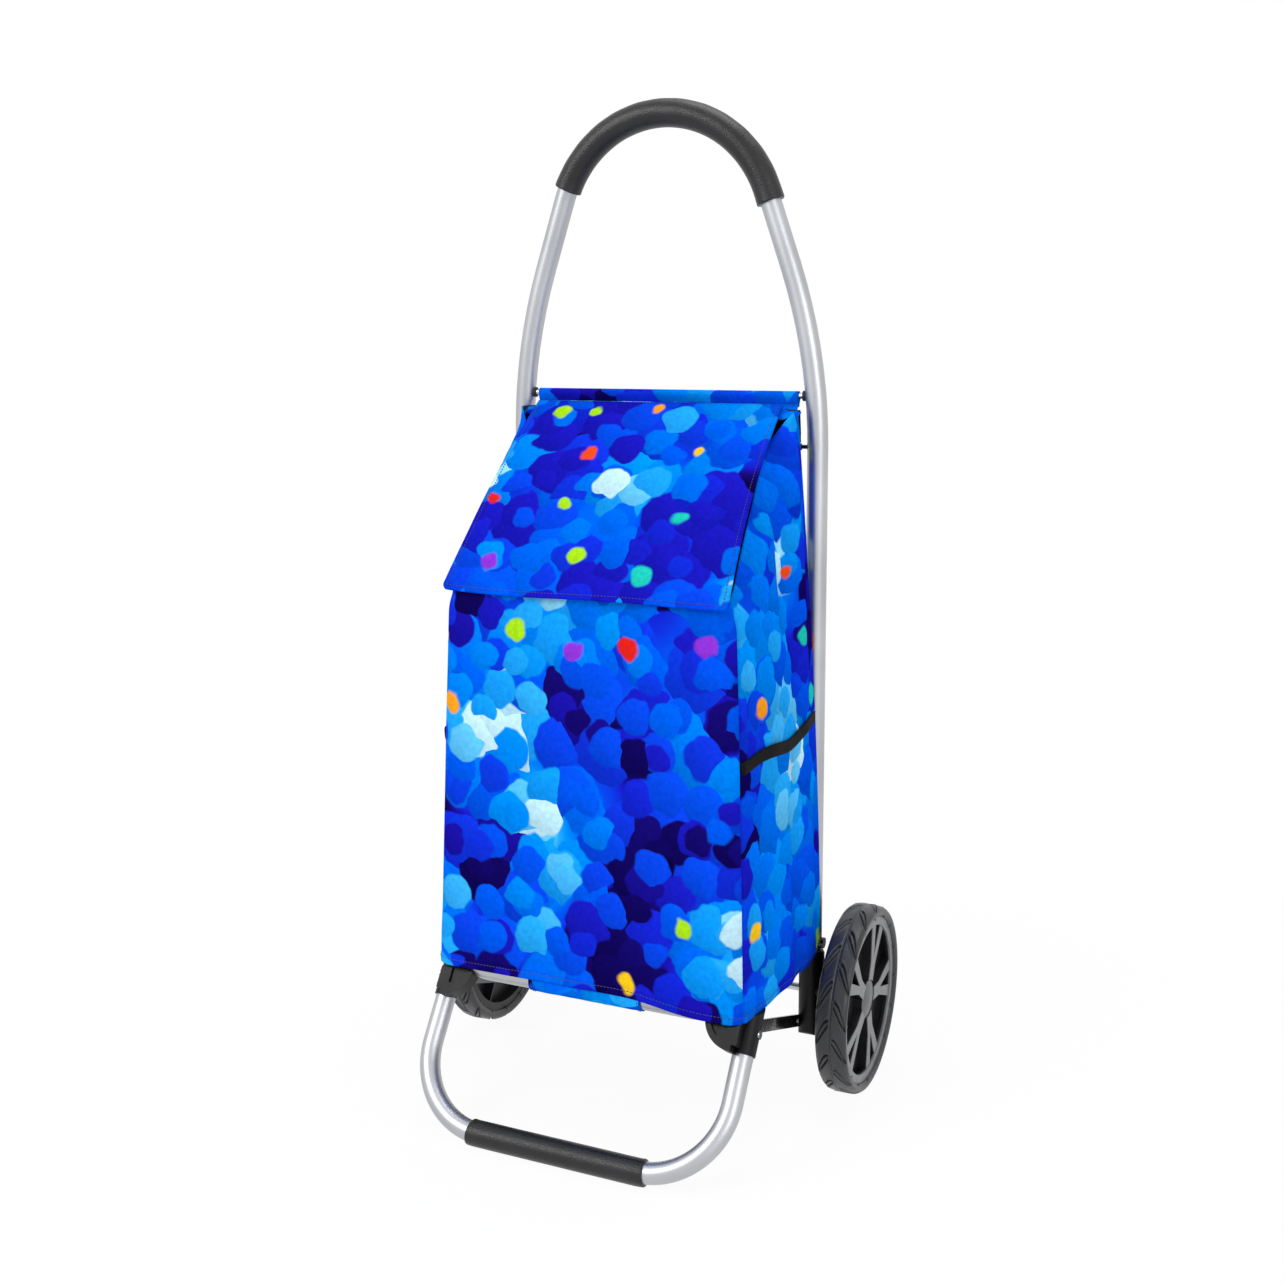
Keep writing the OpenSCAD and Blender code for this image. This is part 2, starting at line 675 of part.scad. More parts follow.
module wheel_bush() {
    difference() {
        union() {
            translate([0, 0, -bush_in + 1.5]) cylinder(d = axle_d + 8, h = bush_in - 1.5 + nut_seat);
            translate([0, 0, -bush_in]) cylinder(d = axle_d + 14, h = 1.5);
        }
        translate([0, 0, -40]) cylinder(d = axle_d + 2 * fit, h = 80);
    }
}

module at_right_wheel() {
    translate([wheel_x, axle_y, axle_z]) rotate([0, 90, 0]) rotate([0, 0, 180]) children();
}

module at_left_wheel() {
    mirror([1, 0, 0]) at_right_wheel() children();
}

module left_rim() { color("#9b9da0") at_left_wheel() rim(); }
module left_tyre() { color("#4d4e52") at_left_wheel() tyre(); }
module left_hub_cap() { color("#a8aaad") at_left_wheel() hub_cap(); }
module left_wheel_bush() { color("#e4e2dc") at_left_wheel() wheel_bush(); }
module right_rim() { color("#9b9da0") at_right_wheel() rim(); }
module right_tyre() { color("#4d4e52") at_right_wheel() tyre(); }
module right_hub_cap() { color("#a8aaad") at_right_wheel() hub_cap(); }
module right_wheel_bush() { color("#e4e2dc") at_right_wheel() wheel_bush(); }

// ---------------------------------------------------------------- platform

// one front corner of the platform, swept with the given section
module platform_corner() {
    translate([platform_x - platform_r, front_y + platform_r, platform_z])
        rotate([0, 0, -90]) rotate_extrude(angle = 90) translate([platform_r, 0]) children();
}

module platform_tube() {
    color("silver") difference() {
        union() {
            translate([-platform_x + platform_r, front_y, platform_z]) rotate([0, 90, 0])
                linear_extrude(2 * (platform_x - platform_r)) tube_section();
            both() platform_corner() tube_section();
            both() translate([platform_x, post_y + 9, platform_z]) rotate([90, 0, 0])
                linear_extrude(platform_len + 9 - platform_r) tube_section();
        }
        both() cross_bar(bolt_d / 2 + fit, platform_x - 20, platform_x + 20, post_y, platform_z);
        both() cross_bar(bolt_d / 2 + fit, platform_x - 20, platform_x + 20, knee_y, platform_z);
    }
}

module platform_end_caps() {
    color("#1f1f21") both() translate([platform_x, post_y + 9, platform_z]) rotate([-90, 0, 0])
        union() {
            cylinder(r1 = tube_r, r2 = tube_r - 1, h = 2);
            translate([0, 0, -5]) cylinder(r = tube_r - tube_wall - fit, h = 6);
        }
}

// fabric loop sewn under the front hem, open along its top
module front_loop() {
    color("#2a72e8") difference() {
        cross_bar(tube_r + soft_gap + 1.6, -loop_w / 2, loop_w / 2, front_y, platform_z);
        cross_bar(tube_r + soft_gap, -loop_w, loop_w, front_y, platform_z);
        translate([-loop_w, front_y - 30, front_hem_z - soft_gap]) cube([2 * loop_w, 60, 30]);
    }
}

// ---------------------------------------------------------------- front leg
// Built with the foot bar along X through the origin and the leg standing on +Z.

module at_leg() {
    translate([0, bar_y, bar_z]) rotate([-leg_lean, 0, 0]) children();
}

module leg_bar(half) {
    translate([-half, 0, 0]) rotate([0, 90, 0]) linear_extrude(2 * half) children();
}

module leg_corner(sweep) {
    translate([post_x - leg_r, 0, leg_r]) rotate([90, 0, 0]) rotate([0, 0, -90])
        rotate_extrude(angle = sweep) translate([leg_r, 0]) children();
}

module leg_tube() {
    color("silver") at_leg() difference() {
        union() {
            leg_bar(post_x - leg_r) tube_section();
            both() leg_corner(90) tube_section();
            both() translate([post_x, 0, leg_r]) linear_extrude(leg_len - leg_r) tube_section();
        }
        both() cross_bar(2.5 + fit, post_x - 20, post_x + 20, 0, rivet_up);
    }
}

module foot_section() {
    difference() {
        circle(d = foot_d);
        circle(d = tube_d + 2 * fit);
    }
}

module leg_grip() {
    color("#2b2b2d") at_leg() union() {
        leg_bar(post_x - leg_r) foot_section();
        both() leg_corner(7) foot_section();
    }
}

// knuckle: sleeve, rounded web under the platform's corner, and cheek to the knee pivot
module knuckle_web() {
    difference() {
        intersection() {
            translate([web_x, -8.5, web_up]) rotate([90, 0, 0]) cylinder(r = web_r, h = web_t);
            union() {
                translate([0, -60, 0]) cube([web_x, 60, web_up]);
            }
        }
        // recess behind the raised rim
        translate([web_x, -web_front + 2.5, web_up + 1]) rotate([90, 0, 0])
            intersection() {
                cylinder(r = web_r - 5, h = 20);
                translate([-web_r - 1, -web_r * 0.62, 0]) cube([web_r - 6, 60, 20]);
            }
    }
    translate([web_x - web_r, -web_front, web_up]) difference() {
        cube([web_r, web_t, 30]);
        translate([5, -1, -1]) cube([web_r - 12, 3.5, 40]);
    }
}

module knuckle_block() {
    union() {
        translate([post_x, 0, leg_len - 30.5]) cylinder(d = knuckle_d, h = 60);
        knuckle_web();
        translate([link_x, -web_front, web_up - web_r * 0.8]) cube([post_x - link_x, web_front, 60]);
    }
}

module knuckle_cheek() {
    translate([brace_x, 0, 0]) rotate([90, 0, 90]) linear_extrude(cheek_t) difference() {
        union() {
            translate([knee_back, knee_up]) circle(r = 8);
            polygon([[-6, knee_up - 24], [9, knee_up - 24], [knee_back + 7.6, knee_up - 2.5],
                [knee_back - 2.5, knee_up + 7.6]]);
        }
        translate([knee_back, knee_up]) circle(r = bolt_d / 2 + fit);
    }
}

module knuckle() {
    difference() {
        union() {
            intersection() {
                at_leg() knuckle_block();
                translate([0, bar_y - 100, 0]) cube([post_x + 30, 300, knuckle_top]);
                translate([0, bar_y - 100, 0]) cube([post_x + 11.3, 300, 200]);
            }
            at_leg() knuckle_cheek();
        }
        at_leg() translate([post_x, 0, 0]) cylinder(r = tube_r + fit, h = leg_len + fit);
        at_leg() cross_bar(2.5 + fit, post_x - 20, post_x + 20, 0, rivet_up);
        // running gap for the brace end
        at_leg() translate([brace_x - 20, 0, rivet_up]) rotate([0, 90, 0])
            cylinder(r = brace_w / 2 + 2, h = link_x - brace_x + 20);
        // saddle for the platform's front corner
        platform_corner() circle(r = tube_r + side_gap);
        translate([0, front_y, platform_z]) rotate([0, 90, 0])
            cylinder(r = tube_r + side_gap, h = platform_x - platform_r);
        translate([platform_x, post_y, platform_z]) rotate([90, 0, 0])
            cylinder(r = tube_r + side_gap, h = platform_len - platform_r);
    }
}

module left_knuckle() {
    color("#303032") mirror([1, 0, 0]) knuckle();
}

module right_knuckle() {
    color("#303032") knuckle();
}

module knuckle_rivets() {
    color("#8a8c8e") both() at_leg() union() {
        cross_bar(2.5, link_x, post_x + 11.3, 0, rivet_up);
        cross_bar(4.5, post_x + 11.3, post_x + 12.5, 0, rivet_up);
    }
}

module knuckle_pivot_pins() {
    color("#8a8c8e") both() union() {
        cross_bar(bolt_d / 2, platform_x - tube_r - 0.5, cheek_x, knee_y, platform_z);
        cross_bar(4.5, platform_x - tube_r - 3, platform_x - tube_r - 0.5, knee_y, platform_z);
    }
}

// ---------------------------------------------------------------- braces

brace_run = sqrt((rivet_y - brace_bolt_y) * (rivet_y - brace_bolt_y)
    + (rivet_z - brace_bolt_z) * (rivet_z - brace_bolt_z));
brace_pitch = atan2(rivet_z - brace_bolt_z, rivet_y - brace_bolt_y);

module brace() {
    translate([brace_x, brace_bolt_y, brace_bolt_z]) rotate([90, 0, 90]) rotate([0, 0, brace_pitch])
        linear_extrude(brace_t) difference() {
            union() {
                circle(d = brace_w);
                translate([brace_run, 0]) circle(d = brace_w);
                translate([0, -brace_w / 2]) square([brace_run, brace_w]);
            }
            circle(d = bolt_d + 2 * fit);
            translate([brace_run, 0]) circle(r = 2.5);
        }
}

module brace_rivet() {
    union() {
        cross_bar(2.5, brace_x, brace_x + brace_t, rivet_y, rivet_z);
        cross_bar(5, brace_x - 1.8, brace_x, rivet_y, rivet_z);
    }
}

module left_brace() { color("#202022") mirror([1, 0, 0]) brace(); }
module right_brace() { color("#202022") brace(); }
module left_brace_rivet() { color("#8a8c8e") mirror([1, 0, 0]) brace_rivet(); }
module right_brace_rivet() { color("#8a8c8e") brace_rivet(); }

// ---------------------------------------------------------------- nodes

handle_hoop();
handle_grip();
top_rod();
rod_collars();
lower_rod();
rod_straps();
left_axle_fitting();
right_axle_fitting();
axle();
axle_spacers();
axle_washers();
axle_nuts();
platform_pivot_bolts();
pivot_spacers();
brace_pivot_bolts();
bag_body();
bag_hem();
bag_back_panel();
bag_base_board();
side_straps();
bag_flap();
left_rim();
left_tyre();
left_hub_cap();
left_wheel_bush();
right_rim();
right_tyre();
right_hub_cap();
right_wheel_bush();
platform_tube();
platform_end_caps();
front_loop();
leg_tube();
leg_grip();
left_knuckle();
right_knuckle();
knuckle_rivets();
knuckle_pivot_pins();
left_brace();
left_brace_rivet();
right_brace();
right_brace_rivet();
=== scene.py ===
from math import atan2, cos, hypot, pi, radians, sin, sqrt

import bmesh
import bpy
import numpy as np
from mathutils import Euler, Matrix, Vector, noise


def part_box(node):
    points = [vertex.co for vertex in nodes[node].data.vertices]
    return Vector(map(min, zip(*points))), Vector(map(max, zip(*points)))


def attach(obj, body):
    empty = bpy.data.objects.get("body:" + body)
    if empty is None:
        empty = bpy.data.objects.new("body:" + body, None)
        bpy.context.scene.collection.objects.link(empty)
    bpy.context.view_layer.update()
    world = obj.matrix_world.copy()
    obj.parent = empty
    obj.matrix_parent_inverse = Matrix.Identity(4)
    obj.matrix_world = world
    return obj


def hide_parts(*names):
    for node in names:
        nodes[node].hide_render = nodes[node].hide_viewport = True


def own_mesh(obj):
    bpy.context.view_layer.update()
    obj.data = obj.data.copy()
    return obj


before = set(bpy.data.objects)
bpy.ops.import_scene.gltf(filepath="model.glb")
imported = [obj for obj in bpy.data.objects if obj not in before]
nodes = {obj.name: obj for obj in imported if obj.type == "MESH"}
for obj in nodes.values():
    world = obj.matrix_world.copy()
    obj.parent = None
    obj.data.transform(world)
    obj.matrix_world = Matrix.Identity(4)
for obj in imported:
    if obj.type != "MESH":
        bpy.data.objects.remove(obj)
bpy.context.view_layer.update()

# ---- Camera
# A normal lens at about hip height, off the trolley's right front corner, looking a little down.
lens = bpy.data.cameras.new("camera")
lens.lens = 43.92
lens.sensor_width = 36.0
camera = bpy.data.objects.new("camera", lens)
camera.location = (0.63364, -1.33037, 0.78224)
camera.rotation_euler = (
    Euler((radians(90 - 12.27), 0, radians(24.95))).to_matrix()
    @ Matrix.Rotation(radians(-0.7), 3, "Z")
).to_euler()
bpy.context.scene.collection.objects.link(camera)
bpy.context.scene.camera = camera

# ---- Handle hoop
# One aluminium tube, 20 mm, bent to an arch with two long shoulders. It carries everything else:
# the axle fittings are pushed on its feet and the rods of the bag are sprung into its sides.


def colour(code):
    """An sRGB hex value as linear red, green, blue and a solid alpha."""
    parts = [int(code[i : i + 2], 16) / 255 for i in (1, 3, 5)]
    return [p / 12.92 if p <= 0.04045 else ((p + 0.055) / 1.055) ** 2.4 for p in parts] + [1.0]


def add(tree, kind, inputs=None, **settings):
    """A node with its inputs and its settings; a shader node goes by its short kind. An input is
    a value, a socket, or another node, which gives its first output."""
    made = tree.nodes.new(kind if "Node" in kind else "ShaderNode" + kind)
    for name, value in settings.items():
        if name == "stops":
            ramp = made.color_ramp
            while len(ramp.elements) < len(value):
                ramp.elements.new(0.5)
            for stop, (place, code) in zip(ramp.elements, value):
                stop.position = place
                stop.color = colour(code)
        elif name == "fade":
            made.color_ramp.interpolation = value
        else:
            setattr(made, name, value)
    for name, value in (inputs or {}).items():
        if isinstance(value, bpy.types.Node):
            value = value.outputs[0]
        if isinstance(value, bpy.types.NodeSocket):
            tree.links.new(value, made.inputs[name])
        else:
            made.inputs[name].default_value = value
    return made


def finish(name, settings):
    """A new material, its node tree and its shader, with the settings that hold all over."""
    made = bpy.data.materials.new(name)
    made.use_nodes = True
    tree = made.node_tree
    shader = tree.nodes["Principled BSDF"]
    for socket, value in settings.items():
        shader.inputs[socket].default_value = value
    return made, tree, shader


def mottled(name, settings, scale, detail, inks, gloss=None, stops=(0.3, 0.7)):
    """A finish whose colour drifts between two inks in soft patches, with scale patches to the
    metre. The patches also shift the roughness where gloss gives its two values. Returns the
    material, its tree and shader, the place on the piece and the patches."""
    made, tree, shader = finish(name, settings)
    place = add(tree, "TexCoord").outputs["Object"]
    patches = add(tree, "TexNoise", {"Vector": place, "Scale": scale, "Detail": detail})
    tone = add(tree, "ValToRGB", {"Fac": patches}, stops=list(zip(stops, inks)))
    tree.links.new(tone.outputs["Color"], shader.inputs["Base Color"])
    if gloss:
        rough = add(tree, "MapRange", {"Value": patches, "To Min": gloss[0], "To Max": gloss[1]})
        tree.links.new(rough.outputs["Result"], shader.inputs["Roughness"])
    return made, tree, shader, place, patches


def bumped(tree, shader, height, depth):
    """Joins a height in the range 0 to 1 to the shader's normal, depth metres deep."""
    bump = add(tree, "Bump", {"Height": height, "Distance": depth, "Strength": 1.0})
    tree.links.new(bump.outputs["Normal"], shader.inputs["Normal"])


def dress(names, material):
    """Gives CAD nodes their material."""
    for name in names:
        slots = nodes[name].data.materials
        slots.clear()
        slots.append(material)


# Satin anodised aluminium: etched before it is anodised, so it is pale grey and softly glossy, and
# its fine matt grain breaks up the highlights. The grain is drawn at 0.8 mm so that it shows.
aluminium, tree, shader, place, _ = mottled(
    "anodised_aluminium", {"Metallic": 1.0}, 14.0, 3.0, ("#B0B2B6", "#BDBFC3"))
grain = add(tree, "TexNoise", {"Vector": place, "Scale": 1250.0, "Detail": 2.0})
rough = add(tree, "MapRange", {"Value": grain,
    "From Min": 0.3, "From Max": 0.7, "To Min": 0.37, "To Max": 0.45})
tree.links.new(rough.outputs["Result"], shader.inputs["Roughness"])
bumped(tree, shader, grain, 0.00002)
dress(["handle_hoop", "platform_tube", "leg_tube"], aluminium)

# ---- Handle grip
# A closed-cell foam sleeve, 27 mm thick, blown over the arch with soap and water. Its cut ends
# are rolled and flared by the push, and in use it has slipped a little down the right side.
MM = 0.001
POST_Y = 92.55
ARCH_R = 112.5
ARCH_Z = 844.0
SHOULDER = 19.0
SLIP = 5.0
TAIL = 10.0
GRIP_R = 13.5
GRIP_ROLL = 1.6


def turned_out(mesh):
    """Turns the faces of a mesh outwards."""
    shell = bmesh.new()
    shell.from_mesh(mesh)
    bmesh.ops.recalc_face_normals(shell, faces=shell.faces)
    shell.to_mesh(mesh)
    shell.free()


def woven(rows, cols, ring=False):
    """Faces of a grid of points laid row by row. In a ring the last column joins the first."""
    wide = cols if ring else cols + 1
    pairs = [(r * wide, c, (c + 1) % wide) for r in range(rows) for c in range(cols)]
    return [(low + c, low + d, low + wide + d, low + wide + c) for low, c, d in pairs]


def new_piece(name, points, faces, material, smooth=True):
    """A mesh object at the origin from points in metres, its faces turned outwards."""
    mesh = bpy.data.meshes.new(name)
    mesh.from_pydata([tuple(p) for p in points], [], faces)
    turned_out(mesh)
    mesh.polygons.foreach_set("use_smooth", [smooth] * len(mesh.polygons))
    mesh.materials.append(material)
    piece = bpy.data.objects.new(name, mesh)
    bpy.context.scene.collection.objects.link(piece)
    return piece


def swept(name, line, radii, material, around, squeeze):
    """A closed round sleeve along a line of points, with a radius for each point and a small
    change of it, as a share, round each turn."""
    points = []
    count = len(line)
    for i, centre in enumerate(line):
        ahead = (line[min(i + 1, count - 1)] - line[max(i - 1, 0)]).normalized()
        level = Vector((0, 1, 0)) if abs(ahead.y) < 0.9 else Vector((0, 0, 1))
        side = ahead.cross(level).normalized()
        up = side.cross(ahead)
        for k in range(around):
            turn = 2 * pi * k / around
            r = radii[i] * (1 + squeeze(i / (count - 1), turn))
            points.append(centre + side * (r * cos(turn)) + up * (r * sin(turn)))
    faces = woven(count - 1, around, ring=True)
    faces.append(tuple(range(around - 1, -1, -1)))
    faces.append(tuple((count - 1) * around + k for k in range(around)))
    return new_piece(name, points, faces, material)


def sleeve_profile(line, outside, roll):
    """Centres and radii of a sleeve along a line, its two ends rolled over."""

    def rolled_end(end, inward):
        for step in range(9):
            a = pi / 2 * step / 8
            yield (end + (inward - end).normalized() * roll * (1 - cos(a)),
                outside - roll + roll * sin(a))

    profile = list(rolled_end(line[0], line[1]))
    profile += [(p, outside) for p in line[2:-2]]
    profile += reversed(list(rolled_end(line[-1], line[-2])))
    return [p for p, _ in profile], [r for _, r in profile]


# Closed-cell NBR foam: matt near-black with a pebbled skin of small closed pores, drawn 0.9 mm
# wide. Rubbed places are a touch greyer.
foam, tree, shader, place, _ = mottled("nbr_foam", {"Roughness": 0.36, "Specular IOR Level": 0.42},
    30.0, 4.0, ("#111113", "#1B1B1E"), stops=(0.35, 0.7))
pores = add(tree, "TexVoronoi",
    {"Vector": place, "Scale": 900.0, "Smoothness": 0.4}, feature="SMOOTH_F1")
bumped(tree, shader, pores.outputs["Distance"], 0.00022)

arch = [
    Vector((ARCH_R * cos(a), POST_Y, ARCH_Z + ARCH_R * sin(a))) * MM
    for a in (radians(SHOULDER + (180 - 2 * SHOULDER - SLIP) * i / 96) for i in range(97))
]
down = Vector((sin(radians(SHOULDER)), 0, -cos(radians(SHOULDER)))) * MM
arch = [arch[0] + down * TAIL * (1 - i / 4) for i in range(4)] + arch


def grip_crease(share, turn):
    """Flared ends, faint bunching of the foam on the inside of the bend, and hand wear."""
    flare = 0.06 * max(0.0, 1 - min(share, 1 - share) / 0.1) ** 1.5
    bunch = 0.006 * max(0.0, -cos(turn)) * sin(share * 96)
    return flare - 0.015 + bunch + 0.01 * noise.noise(Vector((share * 14, cos(turn), sin(turn))))


line, radii = sleeve_profile(arch, GRIP_R * MM, GRIP_ROLL * MM)
handle_foam = swept("handle_foam", line, radii, foam, 56, grip_crease)
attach(handle_foam, "frame")
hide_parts("handle_grip")

# ---- Rods and collars
# The upper rod is zinc-plated steel and runs through the sleeve of the bag; a rubber collar stops
# it at each upright. The lower rod is thin, black, and holds the bag's upper corners.

# Zinc plate: bright cold grey with a faint bluish bloom, smooth and a little uneven in gloss.
zinc, *_ = mottled("zinc_plated_steel", {"Metallic": 1.0},
    160.0, 3.0, ("#A9AEB3", "#C9CBCC"), gloss=(0.18, 0.36))
dress(["top_rod", "axle", "axle_washers", "axle_nuts", "knuckle_rivets", "knuckle_pivot_pins",
    "left_brace_rivet", "right_brace_rivet", "brace_pivot_bolts"], zinc)

# Black stoving enamel on steel: smooth, glossy, with a slight orange peel 3 mm across.
enamel, tree, shader, _, peel = mottled("black_enamelled_steel",
    {"Roughness": 0.22, "Coat Weight": 0.3}, 330.0, 1.0, ("#101113", "#191A1C"))
bumped(tree, shader, peel, 0.00012)
dress(["lower_rod", "left_brace", "right_brace", "platform_pivot_bolts"], enamel)

# Rubber: matt black with a faint grey bloom.
rubber, tree, shader, _, bloom = mottled("moulded_rubber",
    {"Roughness": 0.62, "Specular IOR Level": 0.4}, 220.0, 3.0, ("#141415", "#222325"),
    stops=(0.35, 0.7))
bumped(tree, shader, bloom, 0.0001)
dress(["rod_collars", "platform_end_caps"], rubber)

# ---- Axle fittings, knuckles and spacers
# Glass-filled nylon, injection moulded in black. The fittings sleeve the feet of the uprights; the
# knuckles sleeve the front leg and reach in under the platform's corners.

# Moulded nylon with a spark-eroded texture: satin black, grains 1 mm across, glossier on edges.
nylon_black, tree, shader, place, _ = mottled("moulded_black_nylon", {"Specular IOR Level": 0.2},
    45.0, 2.0, ("#08080A", "#101012"), gloss=(0.34, 0.5))
spark = add(tree, "TexNoise", {"Vector": place, "Scale": 1000.0, "Detail": 2.0})
bumped(tree, shader, spark, 0.0001)
dress(["left_axle_fitting", "right_axle_fitting", "left_knuckle", "right_knuckle", "axle_spacers",
    "pivot_spacers"], nylon_black)

# ---- Wheel rims, caps and bushes
# Polypropylene rims with five twin spokes, on natural nylon bushes. They are moulded in black, and
# their outer faces are coloured a lighter grey as painted light for the lamps they face. A domed
# cap is pressed over each axle nut.

# Black polypropylene with painted light: the faces that look outwards are a flat satin grey, a
# painted highlight for the light they catch, and the plain near-black plastic, waxy and smooth, is
# on every wall and in every recess.
rim_black_lit_faces, tree, shader = finish("black_polypropylene_lit_faces", {"Specular IOR Level": 0.3})
place = add(tree, "TexCoord").outputs["Object"]
matt = add(tree, "TexNoise", {"Vector": place, "Scale": 900.0, "Detail": 2.0})
flow = add(tree, "TexNoise", {"Vector": place, "Scale": 60.0, "Detail": 3.0})
paint, bare = (
    add(tree, "ValToRGB", {"Fac": flow}, stops=[(0.3, dark), (0.7, pale)])
    for dark, pale in (("#77787B", "#87888B"), ("#141416", "#1F1F22")))
sideways = add(tree, "SeparateXYZ", {"Vector": place})
out_by = add(tree, "Math", {0: sideways.outputs["X"]}, operation="ABSOLUTE")
# only faces past 218.2 mm out from the middle take the grey painted highlight; the rest stays black
rolled = add(tree, "MapRange", {"Value": out_by, "From Min": 0.2182, "From Max": 0.2190})
tone = add(tree, "Mix", {"Factor": rolled, 6: bare, 7: paint}, data_type="RGBA")
rough = add(tree, "MapRange", {"Value": flow, "To Min": 0.38, "To Max": 0.5})
tree.links.new(tone.outputs[2], shader.inputs["Base Color"])
tree.links.new(rough.outputs["Result"], shader.inputs["Roughness"])
bumped(tree, shader, matt, 0.0001)
dress(["left_rim", "right_rim"], rim_black_lit_faces)

# Each wheel has rolled to a stop with its spokes at an angle of its own.
AXLE = Vector((0, 89.55, 94.0)) * MM
for side, rolled_to in (("left", -14.0), ("right", 31.0)):
    plain = nodes[side + "_rim"]
    rim = bpy.data.objects.new(side + "_spoked_rim", plain.data.copy())
    rim.data.transform(Matrix.Translation(AXLE) @ Matrix.Rotation(radians(rolled_to), 4, "X")
        @ Matrix.Translation(-AXLE) @ plain.matrix_world)
    bpy.context.scene.collection.objects.link(rim)
    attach(rim, side + "_wheel")
    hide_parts(side + "_rim")

# The caps come from another tool, in a darker and smoother grey.
cap_grey, tree, shader, _, flow = mottled("moulded_dark_grey_cap", {"Roughness": 0.38},
    120.0, 2.0, ("#4E4F52", "#5A5B5E"))
bumped(tree, shader, flow, 0.0001)
dress(["left_hub_cap", "right_hub_cap"], cap_grey)

# Natural nylon: milky, slightly translucent off-white.
bush_nylon, *_ = mottled("natural_nylon", {"Roughness": 0.4, "Subsurface Weight": 0.1},
    200.0, 2.0, ("#CFCCC2", "#DEDBD2"))
dress(["left_wheel_bush", "right_wheel_bush"], bush_nylon)

# ---- Tyres
# Foamed EVA tyres, moulded over the rims. Each side of the centre line has sixteen curved leaves
# outlined by grooves, the two sides half a pitch apart. One sixteenth is modelled and a node tree
# repeats it.
WHEEL_X = 208.5
TYRE_R = 94.0
TYRE_W = 31.2
CROWN_R = 60.0
EDGE_R = 88.6
EDGE_TURN = radians(68)
SEAT_R = 83.4
SEAT_W = 13.3
TREADS = 16

# Foamed EVA: dark slate grey, dull, with a soft skin and faint mould mottling.
eva, tree, shader, place, _ = mottled("moulded_eva_tyre",
    {"Roughness": 0.38, "Specular IOR Level": 0.5}, 36.0, 4.0, ("#222327", "#303136"),
    stops=(0.3, 0.72))
skin = add(tree, "TexNoise", {"Vector": place, "Scale": 700.0, "Detail": 3.0})
bumped(tree, shader, skin, 0.00015)


def tyre_profile(steps):
    """The tyre's outer outline as radius and distance from its middle, rim edge to rim edge."""
    half = TYRE_W / 2
    points = []
    for i in range(steps + 1):
        t = 2 * i / steps - 1
        a = abs(t)
        if a > 0.86:
            f = (a - 0.86) / 0.14
            r, w = EDGE_R - 5.1 * f, half - 2.2 * f * f
        elif a > 0.62:
            turn = EDGE_TURN * (1 - (a - 0.62) / 0.24)
            r = EDGE_R + 3.6 * sin(turn) / sin(EDGE_TURN)
            w = half - 4.6 * (1 - cos(turn))
        else:
            w = 12.72 * a / 0.62
            r = TYRE_R - CROWN_R + sqrt(CROWN_R**2 - w * w)
        points.append((r, w if t > 0 else -w))
    return points


def groove_depth(turn, width):
    """Depth of the tread at a share of the pitch and a distance from the middle, in mm."""
    centre = 1.3 * max(0.0, 1 - (abs(width) / 0.9) ** 2)
    side = abs(width)
    if not 1.6 < side < 14.8:
        return centre
    t = (turn + (0.5 if width < 0 else 0.0)) % 1.0
    f = (side - 1.6) / 13.2
    middle = 0.16 + 0.66 * f**1.5
    reach = 0.13 * sin(pi * min(1.0, f * 0.92 + 0.08)) ** 0.7
    off = (t - middle + 0.5) % 1.0 - 0.5
    cut = 3.0 * max(0.0, 1 - ((abs(off) - reach) / 0.045) ** 2)
    if cut == 0.0 and abs(off) > reach:
        # a moulded lip outside each groove
        cut = -0.5 * max(0.0, 1 - ((abs(off) - reach - 0.09) / 0.05) ** 2) * sin(pi * f) ** 0.5
    return centre if centre > 0 else cut


def tread_sector(columns, steps):
    """One pitch of the tyre about the origin, axle along X: its outside, then its seat."""
    profile = tyre_profile(steps) + [(SEAT_R, SEAT_W), (SEAT_R, 0.0), (SEAT_R, -SEAT_W)]
    points = []
    for c in range(columns + 1):
        turn = 2 * pi / TREADS * c / columns
        for r, w in profile:
            r -= groove_depth(c / columns, w) if r > SEAT_R + 1 else 0.0
            points.append(Vector((w, r * cos(turn), r * sin(turn))) * MM)
    return points, woven(columns, len(profile), ring=True)


def grower(name, **inlets):
    """A geometry tree that takes a shape and some named inlets and gives a shape: the tree, its
    inlets and what comes in by them."""
    tree = bpy.data.node_groups.new(name, "GeometryNodeTree")
    sockets = [
        tree.interface.new_socket(inlet, in_out="INPUT", socket_type="NodeSocket" + kind)
        for inlet, kind in {"Geometry": "Geometry", **inlets}.items()
    ]
    tree.interface.new_socket("Geometry", in_out="OUTPUT", socket_type="NodeSocketGeometry")
    return tree, sockets[1:], add(tree, "NodeGroupInput").outputs


def grows_to(tree, shape, finish):
    """Ends a geometry tree with its shape in a material."""
    dressed = add(tree, "GeometryNodeSetMaterial", {"Geometry": shape, "Material": finish})
    tree.links.new(dressed.outputs[0], add(tree, "NodeGroupOutput").inputs[0])


ring, (count_socket, finish_socket), given = grower(
    "tread_ring", Pitches="Int", Finish="Material")
spots = add(ring, "GeometryNodePoints", {"Count": given["Pitches"]})
index = add(ring, "GeometryNodeInputIndex")
step = add(ring, "Math", {0: 2 * pi, 1: given["Pitches"]}, operation="DIVIDE")
angle = add(ring, "Math", {0: step, 1: index}, operation="MULTIPLY")
turned = add(ring, "CombineXYZ", {"X": angle})
copies = add(ring, "GeometryNodeInstanceOnPoints", {"Points": spots,
    "Instance": given["Geometry"], "Rotation": turned})
real = add(ring, "GeometryNodeRealizeInstances", {"Geometry": copies})
joined = add(ring, "GeometryNodeMergeByDistance", {"Geometry": real, "Distance": 0.00002})
grows_to(ring, joined, given["Finish"])


